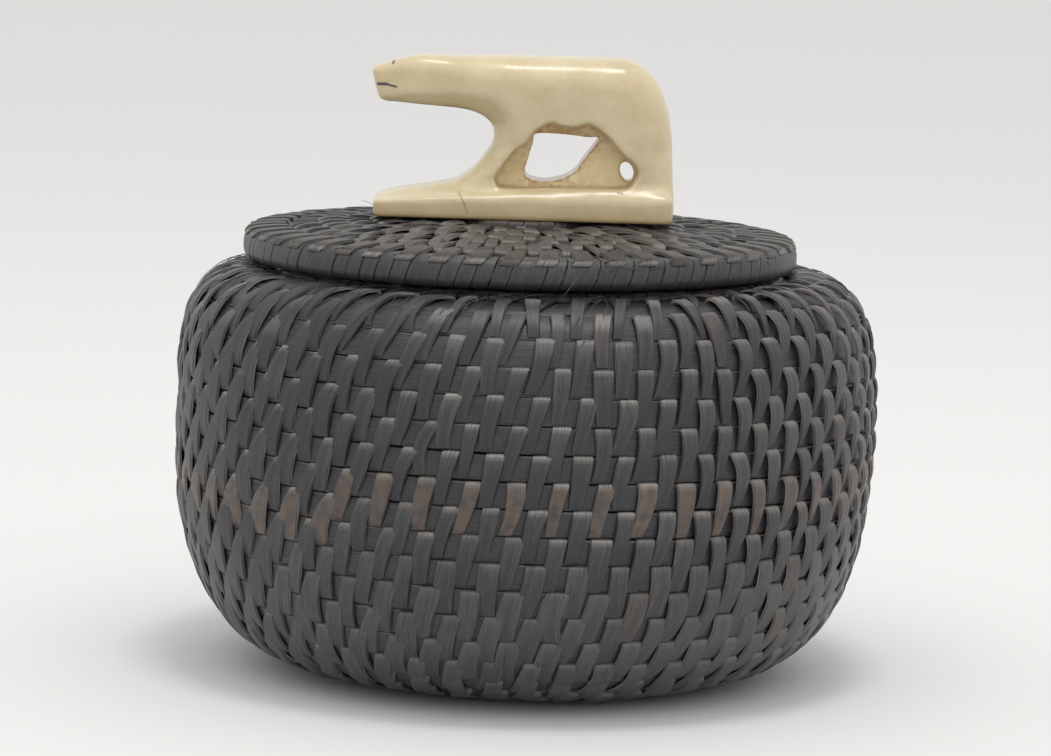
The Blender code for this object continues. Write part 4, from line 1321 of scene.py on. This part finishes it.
NEAR_ARCH = [
    (17.8, 5.0), (17.7, 5.9), (18.9, 7.7), (20.4, 9.6), (21.9, 10.7), (23.2, 12.5), (25.2, 13.6),
    (26.8, 13.3), (28.4, 13.1), (30.6, 13.6), (32.6, 12.6), (34.2, 11.1), (35.8, 9.3), (37.0, 8.4),
    (37.8, 7.0), (37.2, 5.6), (35.6, 4.7), (28.7, 4.5), (19.3, 4.3),
]
THROUGH_HOLE = [
    (23.3, 11.9), (27.3, 11.9), (30.4, 11.6), (32.2, 11.5), (31.2, 9.8), (30.0, 8.2), (29.1, 6.8),
    (27.4, 5.7), (24.9, 5.1), (22.7, 5.4), (21.8, 6.3), (22.3, 8.6), (22.9, 10.6),
]
FAR_HEEL = [
    (35.6, 4.9), (36.0, 7.0), (38.2, 10.0), (42.5, 12.5), (45.0, 12.5), (45.0, 4.4), (37.0, 4.4),
]
HALF_WIDTHS = (
    [0.0, 2.0, 3.2, 5.0, 8.0, 11.0, 14.0, 17.0, 26.0, 34.5, 41.0, 43.3],
    [1.6, 2.4, 3.1, 3.8, 4.0, 4.2, 5.0, 6.2, 6.3, 6.8, 6.4, 5.2],
)
EDGE_ROUND = ([0, 3, 8, 14, 18, 43], [1.2, 1.8, 2.4, 3.2, 4.2, 4.6])
RAMP_HALF_WIDTH = 5.2
RAMP_ROUND = 2.6
PLINTH_TOP = ([0, 5, 12, 22, 42.5], [2.3, 2.8, 3.3, 3.8, 4.2])
PLINTH_CENTRE = 21.7
PLINTH_HALF_LENGTH = 21.3
PLINTH_HALF_WIDTH = 8.1
PLINTH_CORNER = 1.5
PLINTH_EDGE = ([0, 12, 30, 43], [0.5, 0.9, 1.5, 1.5])
PLINTH_FOOT_ROUND = 0.35
END_CUT_HEIGHT = 10.0
END_CUT_CORNER = 1.0
END_CUT_ROUND = 0.6
RAMP_FILLET = 2.4
BODY_FILLET = 1.6
FAR_FACE_OF_ARCH = -2.0
CUT_CORNER = 0.7
CUT_ROUND = 0.45
HOLE_ROUND = 0.5
HEEL_GAP_MIDDLE = (36.3, 6.9)
HEEL_GAP_HALF = (0.95, 1.42)
HEEL_GAP_MEAN = 1.1
HEEL_GAP_TURN = 0.35
HEEL_GAP_ROUND = 0.3
PEG_HOLE_RADIUS = 1.3
PEG_HOLE_TOP = 2.5
PEG_REACH = 3.5


def smooth_outline(points, steps=5):
    """Closed curve through the points. Between two points it is the Catmull-Rom cubic, which leaves
    each point parallel to the line between its two neighbours."""
    here = np.array(points)
    before, after, second = np.roll(here, 1, 0), np.roll(here, -1, 0), np.roll(here, -2, 0)
    t = np.linspace(0, 1, steps, endpoint=False)[None, :, None]
    a, b, c, d = (part[:, None, :] for part in (before, here, after, second))
    curve = 2 * b + (c - a) * t + (2 * a - 5 * b + 4 * c - d) * t**2 + (3 * b - a - 3 * c + d) * t**3
    return (curve / 2).reshape(-1, 2)


def outline_distance(x, z, outline):
    """Distance to the nearest edge of a closed outline, below zero inside it. A point is inside if
    a level ray from it crosses the outline an odd number of times."""
    nearest = np.full(np.broadcast(x, z).shape, 1e9)
    inside = np.zeros(nearest.shape, bool)
    for (ax, az), (bx, bz) in zip(outline, np.roll(outline, -1, 0)):
        ex, ez = bx - ax, bz - az
        share = np.clip(((x - ax) * ex + (z - az) * ez) / (ex * ex + ez * ez), 0, 1)
        nearest = np.minimum(nearest, np.hypot(x - ax - share * ex, z - az - share * ez))
        if ez:
            crosses = ((az > z) != (bz > z)) & (x < ax + ex * (z - az) / ez)
            inside = inside ^ crosses
    return np.where(inside, -nearest, nearest)


def rounded_both(first, second, radius):
    """Where both shapes hold, with their common edge rounded to this radius."""
    beyond = np.hypot(np.maximum(first + radius, 0), np.maximum(second + radius, 0))
    return beyond + np.minimum(np.maximum(first, second) + radius, 0) - radius


def rounded_either(first, second, radius):
    """Where either shape holds, with a hollow fillet of this radius between them."""
    return -rounded_both(-first, -second, radius)


def rounded_less(whole, cut, radius):
    """The whole without the cut, with the cut's rim rounded."""
    return rounded_both(whole, -cut, radius)


print("the bear's side outline has", len(smooth_outline(BEAR_SIDE)), "points")

# %% [markdown]
# ## Carving the bear
#
# The body is the side outline met with its width, with broad rounding, so the back comes out nearly
# half round. The plinth and the ramp to the chest join it with a hollow fillet. Then the arch is cut
# in from the near side as far as the middle, the hole between the far legs goes right through, and
# so does the small gap at the heel. Last come the two holes for the pegs.
#
# To turn the field into a surface, each grid cell that the surface crosses gets one point, at the
# mean of the places where the surface crosses the cell's edges. Each crossed edge then makes a face
# between the four cells around it. This method is called surface nets.


# %% Carved bear
CARVING_STEP = 0.27
CARVING_BLOCK = ((-1.2, 44.6), (-9.3, 9.4), (-0.8, 24.0))
RECESS_FRONT, RECESS_FULL, RECESS_BACK = -6.0, -2.0, 4.0
RECESS_EDGE = 0.8
HOLE_STAIN_REACH = 0.9
ARCH_STAIN_REACH = 0.7
STAIN_SHARE = 0.7


def eased(x, marks, values):
    """Value between the marks, averaged over a stretch of 5 mm so that no crease shows. On the
    muzzle the stretch shrinks to under 1 mm."""
    shifts = np.linspace(-2.5, 2.5, 11)
    reach = np.clip(x / 8, 0.15, 1)
    return np.mean([np.interp(x + shift * reach, marks, values) for shift in shifts], axis=0)


def bear_field(x, y, z):
    side, ramp_side, arch, through = (
        outline_distance(x, z, smooth_outline(outline))
        for outline in (BEAR_SIDE, RAMP_SIDE, NEAR_ARCH, THROUGH_HOLE)
    )
    edge = eased(x, *EDGE_ROUND) * np.interp(z, [5, 10], [0.4, 1.0])
    body = rounded_both(side, np.abs(y) - eased(x, *HALF_WIDTHS), edge)
    ramp = rounded_both(ramp_side, np.abs(y) - RAMP_HALF_WIDTH, RAMP_ROUND)
    long_way = np.abs(x - PLINTH_CENTRE) - PLINTH_HALF_LENGTH
    plan = rounded_both(long_way, np.abs(y) - PLINTH_HALF_WIDTH, PLINTH_CORNER)
    plinth = rounded_both(plan, z - np.interp(x, *PLINTH_TOP), np.interp(x, *PLINTH_EDGE))
    plinth = rounded_both(plinth, -z, PLINTH_FOOT_ROUND)
    standing = rounded_either(rounded_either(plinth, ramp, RAMP_FILLET), body, BODY_FILLET)
    past_ends = rounded_both(-long_way, z - END_CUT_HEIGHT, END_CUT_CORNER)
    carved = rounded_less(standing, past_ends, END_CUT_ROUND)
    arch_cut = rounded_both(arch, y - FAR_FACE_OF_ARCH, CUT_CORNER)
    carved = rounded_less(carved, arch_cut, CUT_ROUND)
    heel = outline_distance(x, z, np.array(FAR_HEEL))
    heel_cut = rounded_both(heel, -FAR_FACE_OF_ARCH - y, CUT_CORNER)
    carved = rounded_less(carved, heel_cut, CUT_ROUND)
    gap_x, gap_z = x - HEEL_GAP_MIDDLE[0], z - HEEL_GAP_MIDDLE[1]
    sine, cosine = math.sin(HEEL_GAP_TURN), math.cos(HEEL_GAP_TURN)
    across = (gap_x * cosine + gap_z * sine) / HEEL_GAP_HALF[0]
    up = (gap_x * sine - gap_z * cosine) / HEEL_GAP_HALF[1]
    gap = (np.hypot(across, up) - 1) * HEEL_GAP_MEAN
    carved = rounded_less(rounded_less(carved, through, HOLE_ROUND), gap, HEEL_GAP_ROUND)
    for spot in (-PEG_REACH, PEG_REACH):
        hole = np.hypot(x - (LID_CENTRE_X + spot - bear_low[0]), y) - PEG_HOLE_RADIUS
        carved = np.maximum(carved, -np.maximum(hole, z - PEG_HOLE_TOP))
    return carved, arch, through


def surface_nets(field, low, step):
    """Points and four-sided faces of the surface where the field is zero."""
    cells = tuple(n - 1 for n in field.shape)
    total, count = np.zeros((*cells, 3), np.float32), np.zeros(cells, np.float32)
    crossings = []
    for axis in range(3):
        values = np.moveaxis(field, axis, 0)
        first, second = values[:-1], values[1:]
        crossed = (first < 0) != (second < 0)
        share = np.where(crossed, first / np.where(crossed, first - second, 1), 0)
        others = [k for k in range(3) if k != axis]
        total_view, count_view = np.moveaxis(total, axis, 0), np.moveaxis(count, axis, 0)
        for p in (0, 1):
            for q in (0, 1):
                pick = np.s_[:, p : crossed.shape[1] - 1 + p, q : crossed.shape[2] - 1 + q]
                count_view += crossed[pick]
                total_view[..., axis] += share[pick]
                total_view[..., others[0]] += crossed[pick] * p
                total_view[..., others[1]] += crossed[pick] * q
        crossings.append((crossed, first < 0))
    used = count > 0
    number = np.cumsum(used).reshape(cells) - 1
    points = np.argwhere(used) + total[used] / count[used][:, None]
    faces = []
    for axis, (crossed, inside_first) in enumerate(crossings):
        numbers = np.moveaxis(number, axis, 0)
        i, j, k = np.nonzero(crossed[:, 1:-1, 1:-1])
        around = [(j, k), (j + 1, k), (j + 1, k + 1), (j, k + 1)]
        quads = np.stack([numbers[i, beside, above] for beside, above in around], axis=-1)
        turned = inside_first[i, j + 1, k + 1] == (axis == 1)
        quads[turned] = quads[turned][:, ::-1]
        faces.append(quads)
    return points * step + low, np.concatenate(faces)


grid_axes = (np.arange(*limits, CARVING_STEP) for limits in CARVING_BLOCK)
grid_x, grid_y, grid_z = np.meshgrid(*grid_axes, indexing="ij", sparse=True)
bear_distance, arch_side, hole_side = bear_field(grid_x, grid_y, grid_z)
grid_low = np.array([limits[0] for limits in CARVING_BLOCK])
bear_points, bear_faces = surface_nets(bear_distance, grid_low, CARVING_STEP)


def at_bear_points(side_field):
    """The values of a field of the side view at the points of the surface."""
    cell = np.round((bear_points - grid_low) / CARVING_STEP).astype(int)
    return side_field[cell[:, 0], 0, cell[:, 2]]


# The recess deepens from the near face inwards, and stains gather at its rims. The recess share
# carries the arch's yellowing and its painted light.
from_arch, from_hole = at_bear_points(arch_side), at_bear_points(hole_side)
bear_y = bear_points[:, 1]
depth = np.interp(bear_y, [RECESS_FRONT, RECESS_FULL], [0, 1]) * (bear_y < RECESS_BACK)
in_arch = np.clip(0.5 - from_arch / RECESS_EDGE, 0, 1)
rim = np.exp(-np.abs(from_hole) / HOLE_STAIN_REACH) + np.exp(-np.abs(from_arch) / ARCH_STAIN_REACH)
stain = np.clip(STAIN_SHARE * in_arch * rim, 0, 1)
bear = mesh_piece(
    "bear_carving", bear_points + np.array([bear_low[0], 0.0, bear_low[2]]), [bear_faces], IVORY,
    values={"recess": in_arch * depth, "stain": stain}, crease_degrees=180,
)
set_down(bear, "lid", "ivory", "bear_finial")
